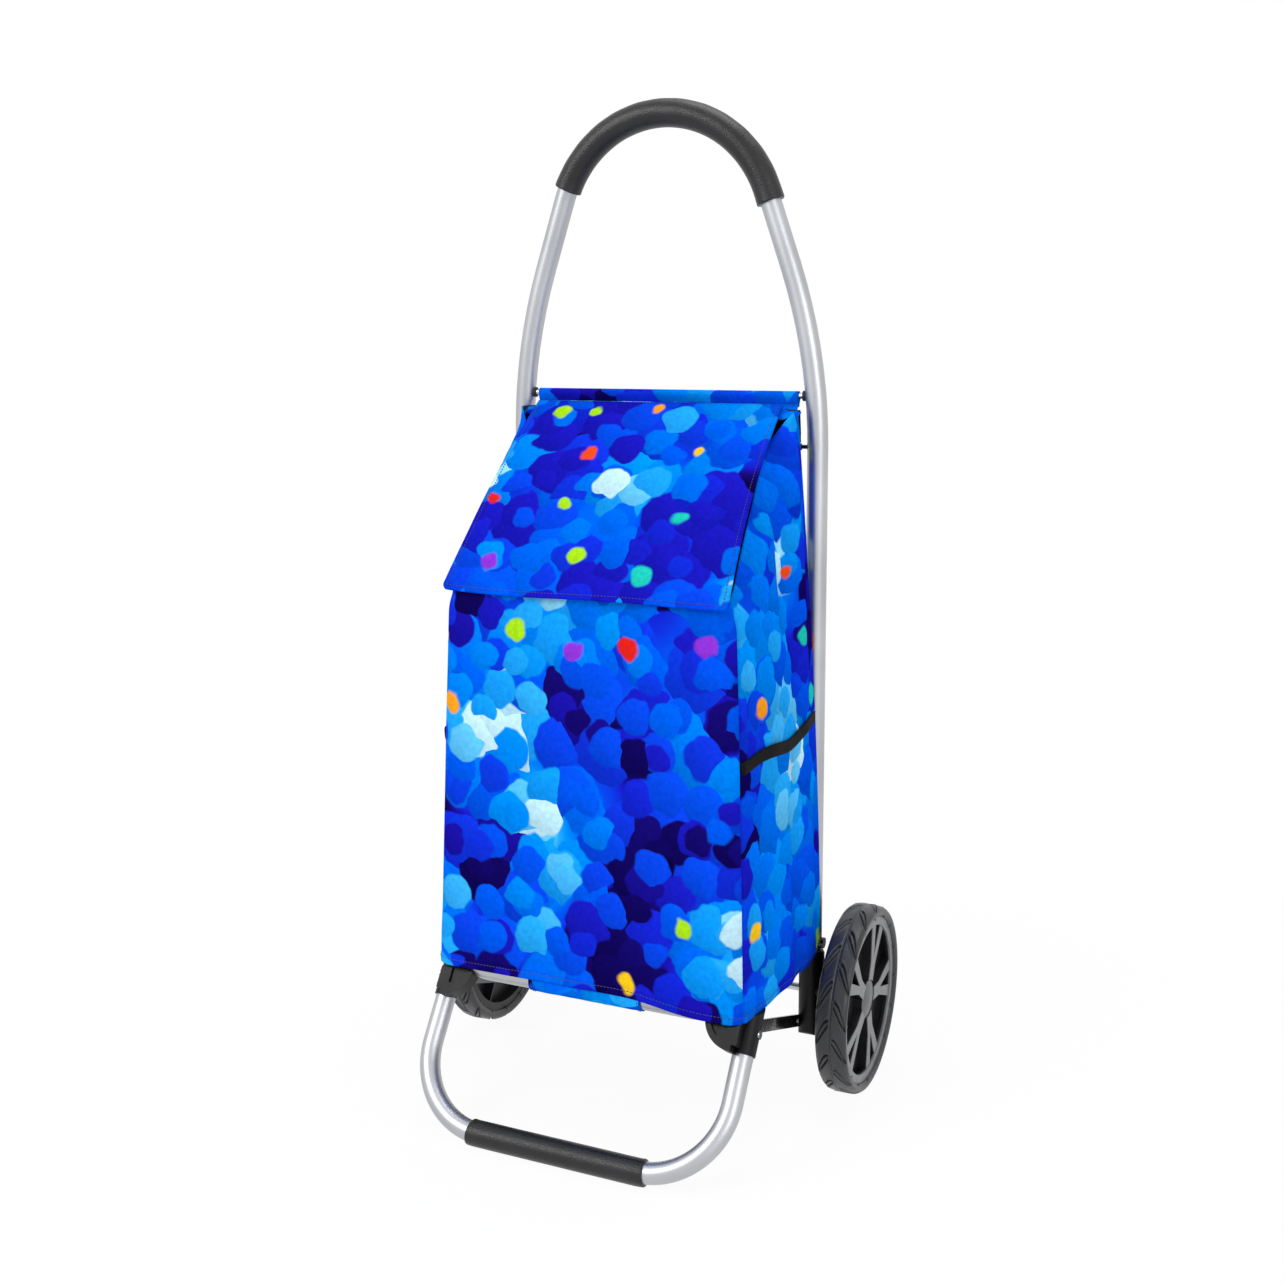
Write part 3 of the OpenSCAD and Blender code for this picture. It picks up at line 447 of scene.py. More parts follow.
def modified(piece):
    """The mesh that a piece's modifiers make of it."""
    bpy.context.view_layer.update()
    view = bpy.context.evaluated_depsgraph_get()
    return bpy.data.meshes.new_from_object(piece.evaluated_get(view), depsgraph=view)


def grown(seed, tree, values, name):
    """Runs a geometry tree on an object and keeps the result as a plain mesh object."""
    run = seed.modifiers.new("grow", "NODES")
    run.node_group = tree
    for socket, value in values.items():
        run[socket.identifier] = value
    mesh = modified(seed)
    bpy.data.objects.remove(seed)
    mesh.name = name
    piece = bpy.data.objects.new(name, mesh)
    bpy.context.scene.collection.objects.link(piece)
    return piece


for side, sign in (("left", -1), ("right", 1)):
    points, faces = tread_sector(60, 60)
    sector = new_piece("sector", points, faces, eva)
    tyre = grown(sector, ring, {count_socket: TREADS, finish_socket: eva}, side + "_tread_tyre")
    move = Matrix.Translation(AXLE + Vector((sign * WHEEL_X * MM, 0, 0)))
    if sign < 0:
        move = move @ Matrix.Rotation(pi, 4, "Z")
    tyre.data.transform(move)
    turned_out(tyre.data)
    tyre.data.polygons.foreach_set("use_smooth", [True] * len(tyre.data.polygons))
    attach(tyre, side + "_wheel")
    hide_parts(side + "_tyre")

# ---- Bag shell
# Printed polyester canvas over a black lining: a front, two sides and a back sewn to one tube. It
# hangs from the rods and stands on a board, so the walls bow out a little and fold at the seams.
HEM_Z = 144.2
FRONT_HEM_Z = 150.0
REAR_HEM_Z = 155.3
BOTTOM_Z = 155.4
BACK_Y = 79.75
FRONT_R = 18.0
REAR_R = 9.0
HINGE = (72.55, 686.0)
FLAP_EDGE = (-101.45, 521.0)
FLAP_RISE = 9.0
CORNER_SEAM = 30
FLAP_TOP = 130.0
FLAP_LOW = 143.0

flap_run = hypot(HINGE[0] - FLAP_EDGE[0], HINGE[1] - FLAP_EDGE[1])
flap_pitch = atan2(HINGE[1] - FLAP_EDGE[1], HINGE[0] - FLAP_EDGE[0])
flap_r = flap_run * flap_run / (8 * FLAP_RISE) + FLAP_RISE / 2
flap_cy = (HINGE[0] + FLAP_EDGE[0]) / 2 + (flap_r - FLAP_RISE) * sin(flap_pitch)
flap_cz = (HINGE[1] + FLAP_EDGE[1]) / 2 - (flap_r - FLAP_RISE) * cos(flap_pitch)


def clamp(x):
    return min(max(x, 0.0), 1.0)


def ease(x):
    x = clamp(x)
    return x * x * (3 - 2 * x)


def hump(x, middle, half):
    """A smooth rise to 1 in the middle and back to 0 at half a width from it."""
    d = abs(x - middle) / half
    return 0.0 if d >= 1 else (1 - d * d) ** 2


def ripple(x, y, seed):
    """Smooth unevenness of the cloth, from -1 to 1."""
    return noise.noise(Vector((x, y, seed)))


def front_width(z):
    return 162 - 14 * (max(z - HEM_Z, 0) / 380) ** 1.2


def rear_width(z):
    return 174 - 29 * (max(z - HEM_Z, 0) / 545) ** 1.6


def front_depth(z):
    return -112.45 + 20 * (z - HEM_Z) / 380


def rim_height(y):
    """Height of the wall's upper edge at the depth y: just under the flap."""
    under = flap_cz + sqrt((flap_r - 3.4) ** 2 - (y - flap_cy) ** 2)
    return min(under, HINGE[1] - 5.2)


# the outline on the +X side, from the middle of the front to the middle of the back
FRONT, CORNER, SIDE, REAR, BACK = range(5)
outline = [(FRONT, f)
    for f in (0, 0.08, 0.16, 0.25, 0.34, 0.43, 0.52, 0.6, 0.68, 0.76, 0.83, 0.89, 0.94, 0.98)]
outline += [(CORNER, a) for a in (90, 80, 70, 60, 50, 42, 37, 34, 32, 30, 28, 26, 23, 18, 10)]
outline += [(SIDE, i / 44) for i in range(1, 44)]
outline += [(REAR, a) for a in (0, 15, 30, 45, 60, 75, 90)]
outline += [(BACK, f) for f in (0.97, 0.92, 0.86, 0.76, 0.64, 0.5, 0.36, 0.22, 0.1, 0)]


def share_of(kind, value):
    """How far back a point of the outline lies, from 0 at the front to 1 at the back."""
    return 0.0 if kind in (FRONT, CORNER) else 1.0 if kind in (REAR, BACK) else value


def flat_point(kind, value, z):
    """The plain wall before it sags: a point and its outward direction, in mm."""
    u = share_of(kind, value)
    w = front_width(z) + (rear_width(z) - front_width(z)) * u + 4 * sin(pi * u)
    y0, y1 = front_depth(z), BACK_Y
    a = radians(value)
    if kind == FRONT:
        return Vector((value * (w - FRONT_R), y0, z)), Vector((0, -1, 0))
    if kind == CORNER:
        out = Vector((cos(a), -sin(a), 0))
        return Vector((w - FRONT_R, y0 + FRONT_R, z)) + out * FRONT_R, out
    if kind == SIDE:
        run = y1 - REAR_R - y0 - FRONT_R
        return Vector((w, y0 + FRONT_R + run * u, z)), Vector((1, 0, 0))
    if kind == REAR:
        out = Vector((cos(a), sin(a), 0))
        return Vector((w - REAR_R, y1 - REAR_R, z)) + out * REAR_R, out
    return Vector((value * (w - REAR_R), y1, z)), Vector((0, 1, 0))


def wall_point(kind, value, t, mirrored):
    """A point of the sagging wall: t runs from the hem to the rim."""
    u = share_of(kind, value)
    seed = 7.3 if mirrored else 2.1
    corner = HEM_Z + (5.0 if mirrored else -2.2)
    low = corner
    if kind == FRONT:
        low = FRONT_HEM_Z - (FRONT_HEM_Z - corner) * ease((value - 0.3) / 0.55)
    elif kind == SIDE:
        low = corner + 2.0 * hump(u, 0.5, 0.5) + (REAR_HEM_Z - corner) * ease((u - 0.72) / 0.28)
    elif kind in (REAR, BACK):
        low = REAR_HEM_Z
    dip = 7 * hump(u, 0.8, 0.12) if kind == SIDE else 0.0
    top_y = front_depth(560) + (BACK_Y - front_depth(560)) * u
    high = rim_height(top_y) - dip
    z = low + (high - low) * t
    p, out = flat_point(kind, value, z)
    push = 0.0
    if kind in (FRONT, CORNER):
        across = value if kind == FRONT else 1.0
        fade = 1.0 if kind == FRONT else hump(90 - value, 0, 90)
        full = sin(pi * clamp((z - 150) / 400)) ** 0.8
        push += 2.2 * full * (1 - across**2) * fade
        push += 1.1 * ripple(p.x * 0.02, z * 0.006, 5.0 + seed) * fade
        push += 1.5 * hump(z, 176, 40) * cos(across * 5.2 + seed) * fade
        push += 1.6 * ease((z - 430) / 110) * sin(across * 6.5 + seed * 2 + z * 0.012) * fade
    if kind == SIDE:
        edge = sin(pi * u)
        top = ease((z - 420) / 200)
        push += 2.0 * edge * sin(pi * clamp((z - 150) / 330))
        push -= (3.0 + 7.0 * top) * hump(u, 0.62 - 0.10 * top, 0.16)
        push += (1.5 + 4.0 * top) * hump(u, 0.82, 0.14)
        push += 1.6 * edge * ripple(u * 4.5, z * 0.009, seed)
        push += 1.1 * edge * sin(u * 17 + z * 0.02 + seed)
        push += 1.2 * hump(z, 168, 26) * sin(u * 21 + seed)
    if kind in (REAR, BACK):
        push -= 0.6
    if kind == CORNER:
        push += 0.5 * hump(value, 42, 9) + 0.5 * hump(value, 19, 9)
        push -= 1.3 * hump(value, CORNER_SEAM, 5)
        push -= 3.5 * ease((z - 500) / 60) * hump(value, 45, 45)
    p += out * push
    if kind in (CORNER, SIDE):
        # the top of the wall rolls in under the edge of the flap
        along = clamp((HINGE[0] - p.y) / (HINGE[0] - FLAP_EDGE[0]))
        under = FLAP_TOP + (FLAP_LOW - FLAP_TOP) * along
        under += 20 * ease((u - 0.78) / 0.2) - 3.5
        p.x -= max(p.x - under, 0) * ease((z - high + 34) / 34) ** 1.5
    if mirrored:
        p.x = -p.x
    return p


ring_points = [(k, v, False) for k, v in outline] + [
    (k, v, True) for k, v in reversed(outline) if not (k in (FRONT, BACK) and v == 0)
]
LEVELS = 96
shell_points = []
for level in range(LEVELS + 1):
    t = level / LEVELS
    shell_points += [wall_point(k, v, t, m) * MM for k, v, m in ring_points]
around = len(ring_points)


def panel_of(kind, value, mirrored):
    """Which cut panel a stretch of the wall belongs to: front, right, left or back."""
    if kind == FRONT or (kind == CORNER and value > CORNER_SEAM):
        return 0
    if kind in (CORNER, SIDE) or (kind == REAR and value < 45):
        return 2 if mirrored else 1
    return 3


# Coats of printed dots, each over the last: pitch of the dots in metres, smallest and largest
# radius as a share of the pitch, how many are there, and a shift towards the paler inks.
COATS = [
    (0.052, 0.55, 0.85, 1.00, 0.00),
    (0.045, 0.42, 0.66, 0.85, -0.02),
    (0.041, 0.36, 0.60, 0.70, 0.00),
    (0.038, 0.32, 0.54, 0.55, 0.02),
    (0.044, 0.28, 0.46, 0.16, 0.16),
]
INKS = [
    (0.0, "#0A0330"), (0.12, "#150A70"), (0.20, "#1A14B0"), (0.27, "#1226D0"), (0.36, "#0A3EE0"),
    (0.50, "#0058EA"), (0.60, "#0072EE"), (0.70, "#008CF2"), (0.82, "#22A4F4"), (0.92, "#6CCCF6"),
    (1.0, "#BFE8F8"),
]
BRIGHTS = ["#F7C81E", "#A6E01C", "#F0501C", "#E0241C", "#D42AA6", "#8E35D6", "#20C8B8", "#F7A01E"]

# Polyester canvas with a dye-sublimation print: plain weave, threads drawn 1.2 mm apart so that
# they show, and vivid matt ink. The design is plain overlapping round dots, each a little lighter
# on its upper side, in blues that drift from indigo to ice blue across the cloth.
canvas, tree, shader = finish("printed_polyester_canvas",
    {"Roughness": 0.6, "Specular IOR Level": 0.0})
cloth = add(tree, "UVMap", uv_map="cloth").outputs["UV"]
wander = add(tree, "TexNoise",
    {"Vector": cloth, "Scale": 42.0, "Detail": 1.5}, noise_dimensions="2D")
wobble = add(tree, "VectorMath",
    {0: wander.outputs["Color"], 1: (0.012, 0.012, 0.0), 2: cloth}, operation="MULTIPLY_ADD")
fleck = add(tree, "TexNoise",
    {"Vector": cloth, "Scale": 210.0, "Detail": 3.0}, noise_dimensions="2D")
mottle = add(tree, "MapRange", {"Value": fleck,
    "From Min": 0.3, "From Max": 0.7, "To Min": 0.9, "To Max": 1.08})


def tide(where, lift):
    """How pale the print is at a place of the cloth: it drifts over a hand's width, and the far end
    of the roll, which the flap is cut from, is deeper."""
    drift = add(tree, "TexNoise",
        {"Vector": where, "Scale": 8.5, "Detail": 1.0}, noise_dimensions="2D")
    along = add(tree, "SeparateXYZ", {"Vector": where})
    deeper = add(tree, "MapRange", {"Value": along.outputs["X"],
        "From Min": 10.0, "From Max": 11.0, "To Min": lift, "To Max": lift - 0.09})
    return add(tree, "Math", {0: drift, 1: 1.7, 2: deeper}, operation="MULTIPLY_ADD")


along = add(tree, "SeparateXYZ", {"Vector": cloth})
least = add(tree, "MapRange", {"Value": along.outputs["X"],
    "From Min": 10.0, "From Max": 11.0, "To Min": 0.06, "To Max": 0.21})
ink = add(tree, "ValToRGB", {"Fac": tide(wobble, -0.45)}, stops=INKS)
BRIGHT_SPOTS = (0.064, 0.12, 0.21, 0.34, None)
for coat, (pitch, small, large, chance, lift) in enumerate(COATS + [BRIGHT_SPOTS]):
    offset = (0.317 * coat, 0.711 * coat, 0.0)
    moved = add(tree, "VectorMath", {0: wobble, 1: offset}, operation="ADD")
    cells = add(tree, "TexVoronoi",
        {"Vector": moved, "Scale": 1 / pitch, "Randomness": 0.9}, voronoi_dimensions="2D")
    dice = add(tree, "SeparateColor", {"Color": cells.outputs["Color"]})
    radius = add(tree, "MapRange", {"Value": dice, "To Min": small, "To Max": large})
    edge = add(tree, "Math", {0: radius, 1: cells.outputs["Distance"]}, operation="SUBTRACT")
    inside = add(tree, "MapRange",
        {"Value": edge, "From Min": 0.0, "From Max": 0.06}, interpolation_type="SMOOTHSTEP")
    there = add(tree, "Math", {0: dice.outputs[1], 1: chance}, operation="LESS_THAN")
    mask = add(tree, "Math", {0: inside, 1: there}, operation="MULTIPLY")
    if lift is None:
        stops = [(i / len(BRIGHTS), code) for i, code in enumerate(BRIGHTS)]
        paint = add(tree, "ValToRGB", {"Fac": dice.outputs[2]}, stops=stops, fade="CONSTANT")
    else:
        centre = add(tree, "VectorMath",
            {0: cells.outputs["Position"], 1: offset}, operation="SUBTRACT")
        mixed = add(tree, "Math",
            {0: dice.outputs[2], 1: 0.42, 2: tide(centre, lift - 0.56)}, operation="MULTIPLY_ADD")
        pale = add(tree, "Math", {0: mixed, 1: least}, operation="MAXIMUM")
        paint = add(tree, "ValToRGB", {"Fac": pale}, stops=INKS)
    # each dot is lighter on one side, and its ink thins towards the rim
    across = add(tree, "VectorMath",
        {0: moved, 1: cells.outputs["Position"]}, operation="SUBTRACT")
    slope = add(tree, "VectorMath",
        {0: across, 1: (0.5 / pitch, 0.8 / pitch, 0.0)}, operation="DOT_PRODUCT")
    lit = add(tree, "MapRange", {"Value": slope.outputs["Value"],
        "From Min": -0.5, "From Max": 0.5, "To Min": 0.72, "To Max": 1.2})
    depth = add(tree, "Math", {0: lit, 1: mottle}, operation="MULTIPLY")
    shaded = add(tree, "VectorMath", {0: paint, "Scale": depth}, operation="SCALE")
    ink = add(tree, "Mix", {"Factor": mask, 6: ink, 7: shaded}, data_type="RGBA").outputs[2]
tree.links.new(ink, shader.inputs["Base Color"])
warp = add(tree, "TexWave", {"Vector": cloth, "Scale": 262.0}, bands_direction="X")
weft = add(tree, "TexWave", {"Vector": cloth, "Scale": 262.0}, bands_direction="Y")
weave = add(tree, "Math", {0: warp.outputs["Fac"], 1: weft.outputs["Fac"]}, operation="ADD")
bumped(tree, shader, weave, 0.00007)

# Lining: black PU-coated taffeta, smooth and dull with a fine crosswise rib.
lining, tree, shader, place, _ = mottled("black_taffeta_lining",
    {"Roughness": 0.5, "Specular IOR Level": 0.3}, 18.0, 4.0, ("#0C0C0E", "#1A1A1D"))
rib = add(tree, "TexWave", {"Vector": place, "Scale": 240.0}, bands_direction="Z")
bumped(tree, shader, rib.outputs["Fac"], 0.0001)


def cut_cloth(piece, place_of):
    """Lays the print on a piece: place_of(face, vertex) is a flat place on the cloth in metres."""
    layer = piece.data.uv_layers.new(name="cloth")
    for face in piece.data.polygons:
        for loop in face.loop_indices:
            layer.data[loop].uv = place_of(face.index, piece.data.loops[loop].vertex_index)


def faced(piece, face, way):
    """Turns an open sheet over where one of its faces looks away from its outer side."""
    if piece.data.polygons[face].normal.dot(Vector(way)) < 0:
        piece.data.flip_normals()


def lined(piece, wall, inner=lining):
    """Gives a sheet its thickness, inwards, with the lining or its own cloth on the inside."""
    piece.data.materials.append(inner)
    thick = piece.modifiers.new("wall", "SOLIDIFY")
    thick.thickness = wall * MM
    thick.offset = -1
    thick.material_offset = 1
    thick.material_offset_rim = 0
    mesh = modified(piece)
    piece.modifiers.clear()
    piece.data = mesh
    return piece


def bag_finish(piece, body="frame"):
    """A soft piece of the bag: it rides on its body, with a mesh of its own."""
    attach(piece, body)
    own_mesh(piece)


bag_shell = new_piece("bag_shell", shell_points, woven(LEVELS, around, ring=True), canvas)
lengths = [0.0]
for a, b in zip(ring_points, ring_points[1:] + ring_points[:1]):
    pa, pb = (wall_point(k, v, 0.4, m) for k, v, m in (a, b))
    lengths.append(lengths[-1] + (pb - pa).length * MM)
SHIFTS = [(0.0, 0.0), (2.87, 0.64), (-0.61, 0.53), (1.73, 0.22)]


def print_place(face, vertex, points):
    """Where a point of the walls lies on the cloth, given the face that it is drawn for."""
    i, first = vertex % around, face % around
    if i == 0 and first == around - 1:
        i = around
    kind, value, mirrored = ring_points[first]
    after = ring_points[(first + 1) % around]
    turning = not mirrored and after[0] != FRONT
    panel = panel_of(*after) if turning else panel_of(kind, value, mirrored)
    if kind == CORNER and mirrored and value >= CORNER_SEAM and after[1] > CORNER_SEAM:
        panel = 0
    along = lengths[i] - (lengths[-1] if panel == 0 and i > around / 2 else 0.0)
    return along + SHIFTS[panel][0], points[vertex].z + SHIFTS[panel][1]


cut_cloth(bag_shell, lambda face, vertex: print_place(face, vertex, shell_points))
lined(bag_shell, 1.6)
bag_finish(bag_shell)
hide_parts("bag_body")

# ---- Hem of the bag
# The lower edge is turned up 9 mm and topstitched, so it is a thicker band round the bag.
HEM_TURN = 9.0
HEM_LEVELS = 6


def hem_foot(kind, value, mirrored):
    """A point of the wall's lower edge, and the directions up the wall and out of it."""
    foot = wall_point(kind, value, 0.0, mirrored)
    up = (wall_point(kind, value, 0.03, mirrored) - foot).normalized()
    out = flat_point(kind, value, FRONT_HEM_Z)[1]
    if mirrored:
        out.x = -out.x
    return foot, up, out


hem_points = []
for level in range(HEM_LEVELS + 1):
    t = level / HEM_LEVELS
    bulge = 0.75 * (1 - (2 * t - 1) ** 4)
    for foot, up, out in (hem_foot(*at) for at in ring_points):
        hem_points.append((foot + up * (HEM_TURN * t - 0.3) + out * (0.05 + bulge)) * MM)
hem_band = new_piece("hem_band", hem_points, woven(HEM_LEVELS, around, ring=True), canvas)
cut_cloth(hem_band, lambda face, vertex: print_place(face, vertex, hem_points))
lined(hem_band, 0.5, canvas)
bag_finish(hem_band)
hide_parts("bag_hem")

# ---- Stitching
# Lockstitch in dark blue polyester thread, 3.4 mm long. A node tree lays it along any line.
thread, *_ = mottled("polyester_thread", {"Roughness": 0.5, "Sheen Weight": 0.2},
    1500.0, 2.0, ("#0C0E4C", "#191C78"))

seam, (pitch_socket, length_socket, thread_socket, ink_socket), given = grower(
    "lockstitch", Pitch="Float", Length="Float", Thread="Float", Finish="Material")
spots = add(seam, "GeometryNodeCurveToPoints",
    {"Curve": given["Geometry"], "Length": given["Pitch"]}, mode="LENGTH")
bead = add(seam, "GeometryNodeMeshUVSphere",
    {"Segments": 6, "Rings": 4, "Radius": given["Thread"]})
ratio = add(seam, "Math", {0: given["Length"], 1: given["Thread"]}, operation="DIVIDE")
half = add(seam, "Math", {0: ratio, 1: 0.5}, operation="MULTIPLY")
shape = add(seam, "CombineXYZ", {"X": 1.0, "Y": 1.0, "Z": half})
copies = add(seam, "GeometryNodeInstanceOnPoints",
    {"Points": spots.outputs["Points"], "Instance": bead,
     "Rotation": spots.outputs["Rotation"], "Scale": shape})
real = add(seam, "GeometryNodeRealizeInstances", {"Geometry": copies})
grows_to(seam, real, given["Finish"])


PITCH = 3.4
STITCH = 2.5
THREAD_R = 0.42
HEM_ROW = 6.6


def stitched(name, lines):
    """Stitches along lines of points in mm."""
    data = bpy.data.curves.new(name, "CURVE")
    data.dimensions = "3D"
    for points in lines:
        spline = data.splines.new("POLY")
        spline.points.add(len(points) - 1)
        for spot, p in zip(spline.points, points):
            spot.co = (p[0] * MM, p[1] * MM, p[2] * MM, 1)
    seed = bpy.data.objects.new(name, data)
    bpy.context.scene.collection.objects.link(seed)
    return grown(seed, seam, {pitch_socket: PITCH * MM, length_socket: STITCH * MM,
        thread_socket: THREAD_R * MM, ink_socket: thread}, name)


hem_line = [foot + up * HEM_ROW + out * 0.95
    for foot, up, out in (hem_foot(*at) for at in ring_points + ring_points[:1])]
hem_stitches = stitched("hem_stitches", [hem_line])
bag_finish(hem_stitches)

# ---- Base board
# A stiff board in a black taffeta sleeve lies in the bottom of the bag, on a canvas floor panel.
RINGS = 12
FLOOR_SHARE = 0.968
inner_ring = [flat_point(k, v, BOTTOM_Z)[0] for k, v in outline]
inner_ring += [Vector((-p.x, p.y, p.z)) for p in reversed(inner_ring[1:-1])]
centre = Vector((0, (front_depth(BOTTOM_Z) + BACK_Y) / 2, BOTTOM_Z))
floor_points = []
for r in range(1, RINGS + 1):
    for p in inner_ring:
        q = centre.lerp(p, r / RINGS * FLOOR_SHARE)
        dome = 0.07 * ripple(q.x * 0.03, q.y * 0.03, 9.0)
        floor_points.append(Vector((q.x, q.y, BOTTOM_Z + 0.5 + dome)) * MM)
floor_points.append(centre * MM)
n = len(inner_ring)
floor_faces = woven(RINGS - 1, n, ring=True) + [(RINGS * n, (i + 1) % n, i) for i in range(n)]
bag_floor = new_piece("bag_floor", floor_points, floor_faces, canvas)
cut_cloth(bag_floor, lambda face, vertex: (
    floor_points[vertex].x + 3.1, floor_points[vertex].y + 0.4))
lined(bag_floor, 0.8)
bag_finish(bag_floor)

BOARD_FRONT_R = 20.0
BOARD_REAR_R = 4.0
BOARD_MIDDLE = -16.0
low, high = (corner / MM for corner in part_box("bag_base_board"))
board_outline = []
for x_side, y_side, start in ((1, -1, -90), (1, 1, 0), (-1, 1, 90), (-1, -1, 180)):
    r = BOARD_FRONT_R if y_side < 0 else BOARD_REAR_R
    middle = Vector(((high.x - r) * x_side, high.y - r if y_side > 0 else low.y + r, 0))
    for i in range(15):
        a = radians(start + 90 * i / 14)
        board_outline.append(middle + Vector((r * cos(a), r * sin(a), 0)))
rounding = ((low.z, 1.2), (low.z + 0.5, 0.3), (low.z + 1.4, 0.0),
    (high.z - 0.9, 0.0), (high.z - 0.25, 0.35), (high.z, 1.4))
board_points = []
for z, inset in rounding:
    for p in board_outline:
        scale = 1 - inset / Vector((p.x, p.y - 4, 0)).length
        y = BOARD_MIDDLE + (p.y - BOARD_MIDDLE) * scale
        board_points.append(Vector((p.x * scale, y, z)) * MM)
n = len(board_outline)
top = len(board_points) - n
board_faces = woven(len(rounding) - 1, n, ring=True)
board_faces += [tuple(range(n - 1, -1, -1)), tuple(top + i for i in range(n))]
base_board = new_piece("base_board_cover", board_points, board_faces, lining)
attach(base_board, "frame")
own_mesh(base_board)
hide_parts("bag_base_board")

# ---- Back panel and rod sleeve
# A printed panel on the bag's back ends in a sleeve that the upper rod runs through. The sleeve is
# a hem 15 mm deep with one row of stitches under the rod.
ROD_Z = 693.0
PANEL_W = 139.0
PANEL_FOOT = 160.0
PANEL_H = 525.0
ROW_W = 137.0
SLEEVE_R = 4.4


def back_point(x, z):
    """The outer face of the back panel."""
    lift = ease((z - 672) / 14)
    y = 82.2 + 9.2 * lift
    y += 0.7 * ripple(x * 0.025, z * 0.012, 3.0) * (1 - lift)
    y -= 0.5 * hump(z, 400, 250) * cos(x * 0.03)
    return Vector((x, min(y, POST_Y - 0.6 if lift > 0.5 else 84.0), z))


cols, rows = 60, 90
panel_points = [
    back_point(PANEL_W * (2 * c / cols - 1), PANEL_FOOT + PANEL_H * (r / rows)) * MM
    for r in range(rows + 1) for c in range(cols + 1)
]
back_panel = new_piece("back_panel", panel_points, woven(rows, cols), canvas)
faced(back_panel, 0, (0, 1, 0))
cut_cloth(back_panel, lambda face, vertex: (
    panel_points[vertex].x + 4.2, panel_points[vertex].z + 0.15))
lined(back_panel, 1.0, canvas)
bag_finish(back_panel)
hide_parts("bag_back_panel")

sleeve_points = []
section = [(POST_Y - 1.2, ROD_Z - 10.5), (POST_Y - 2.6, ROD_Z - 7.0), (POST_Y - 3.6, ROD_Z - 3.4)]
section += [(POST_Y - SLEEVE_R * cos(radians(a)), ROD_Z + SLEEVE_R * sin(radians(a)))
    for a in range(-10, 191, 20)]
section += [(POST_Y + 3.4, ROD_Z - 3.6), (POST_Y + 1.9, ROD_Z - 7.2), (POST_Y + 0.6, ROD_Z - 10.5)]
n = len(section)
cols = 70
for c in range(cols + 1):
    x = PANEL_W * (2 * c / cols - 1)
    for k, (y, z) in enumerate(section):
        pinch = (0.5 if k < 3 or k > n - 4 else 0.06) * ripple(x * 0.05, k * 0.35, 4.0)
        droop = 0.35 * ripple(x * 0.03, 1.0, 8.0) if k in (0, n - 1) else 0.0
        sleeve_points.append(Vector((x, y + pinch, z + droop)) * MM)
rod_sleeve = new_piece("rod_sleeve", sleeve_points, woven(cols, n - 1), canvas)
faced(rod_sleeve, n // 2, (0, 0, 1))
cut_cloth(rod_sleeve, lambda face, vertex: (
    sleeve_points[vertex].x + 5.3, 0.1 + 0.0035 * (vertex % n)))
lined(rod_sleeve, 0.9, canvas)
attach(rod_sleeve, "frame")
sleeve_stitches = stitched("sleeve_stitches", [
    [(x, POST_Y + off, ROD_Z - 8.3) for x in np.linspace(-ROW_W, ROW_W, 60)]
    for off in (-2.9, 2.5)])
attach(sleeve_stitches, "frame")

# ---- Flap
# The cover flap is a lined canvas sheet, sewn to the top of the bag, widening to its free edge.
# Its other three edges are turned under 8 mm and topstitched; it bellies slightly and its lower
# corners stand off the bag.
CORNER_R = 5.0
STITCH_IN = 4.2


def flap_point(u, v, lift=0.0):
    """The flap's outer face: u from -1 to 1 across, v from the seam to the free edge."""
    half = FLAP_TOP + (FLAP_LOW - FLAP_TOP) * v - 1.6 * sin(pi * v)
    if v > 0.97:
        cut = (v - 0.97) / 0.03
        half -= CORNER_R * (1 - sqrt(max(1 - cut * cut, 0))) * 0.9
    along = flap_run / 2 - flap_run * v
    chord_y = (HINGE[0] + FLAP_EDGE[0]) / 2 + along * cos(flap_pitch)
    chord_z = (HINGE[1] + FLAP_EDGE[1]) / 2 + along * sin(flap_pitch)
    rise = sqrt(flap_r**2 - along**2) - (flap_r - FLAP_RISE) + lift
    rise += 0.8 * ripple(u * 1.6, v * 2.2, 11.0) * sin(pi * v) ** 0.5
    rise += 1.6 * ease((v - 0.75) / 0.25) * sin(u * 4.1 + 0.6)
    rise += 1.8 * ease((v - 0.7) / 0.3) * abs(u) ** 4
    rise += 0.54 * (hump(abs(u), 1.0, 0.07) + hump(v, 1.0, 0.045))
    return Vector((half * u, chord_y - rise * sin(flap_pitch), chord_z + rise * cos(flap_pitch)))


cols, rows = 84, 76
even = [2 * c / cols - 1 for c in range(cols + 1)]
across_flap = [0.35 * sin(pi / 2 * f) + 0.65 * f for f in even]
down_flap = [1 - (1 - r / rows) ** 1.25 for r in range(rows + 1)]
flap_points = [flap_point(u, v) * MM for v in down_flap for u in across_flap]
flap_cover = new_piece("flap_cover", flap_points, woven(rows, cols), canvas)
faced(flap_cover, rows * cols // 2, (0, 0, 1))
cut_cloth(flap_cover, lambda face, vertex: (
    flap_points[vertex].x + 11.4, 0.3 - flap_run * MM * down_flap[vertex // (cols + 1)]))
lined(flap_cover, 2.0)
bag_finish(flap_cover, "flap")
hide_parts("bag_flap")
row_u, row_v = 1 - STITCH_IN / FLAP_LOW, 1 - STITCH_IN / flap_run
flap_stitches = stitched("flap_stitches", [
    [flap_point(-row_u, v, 0.25) for v in np.linspace(0.02, row_v, 60)],
    [flap_point(u, row_v, 0.25) for u in np.linspace(-row_u, row_u, 70)],
    [flap_point(row_u, v, 0.25) for v in np.linspace(row_v, 0.02, 60)]])
bag_finish(flap_stitches, "flap")

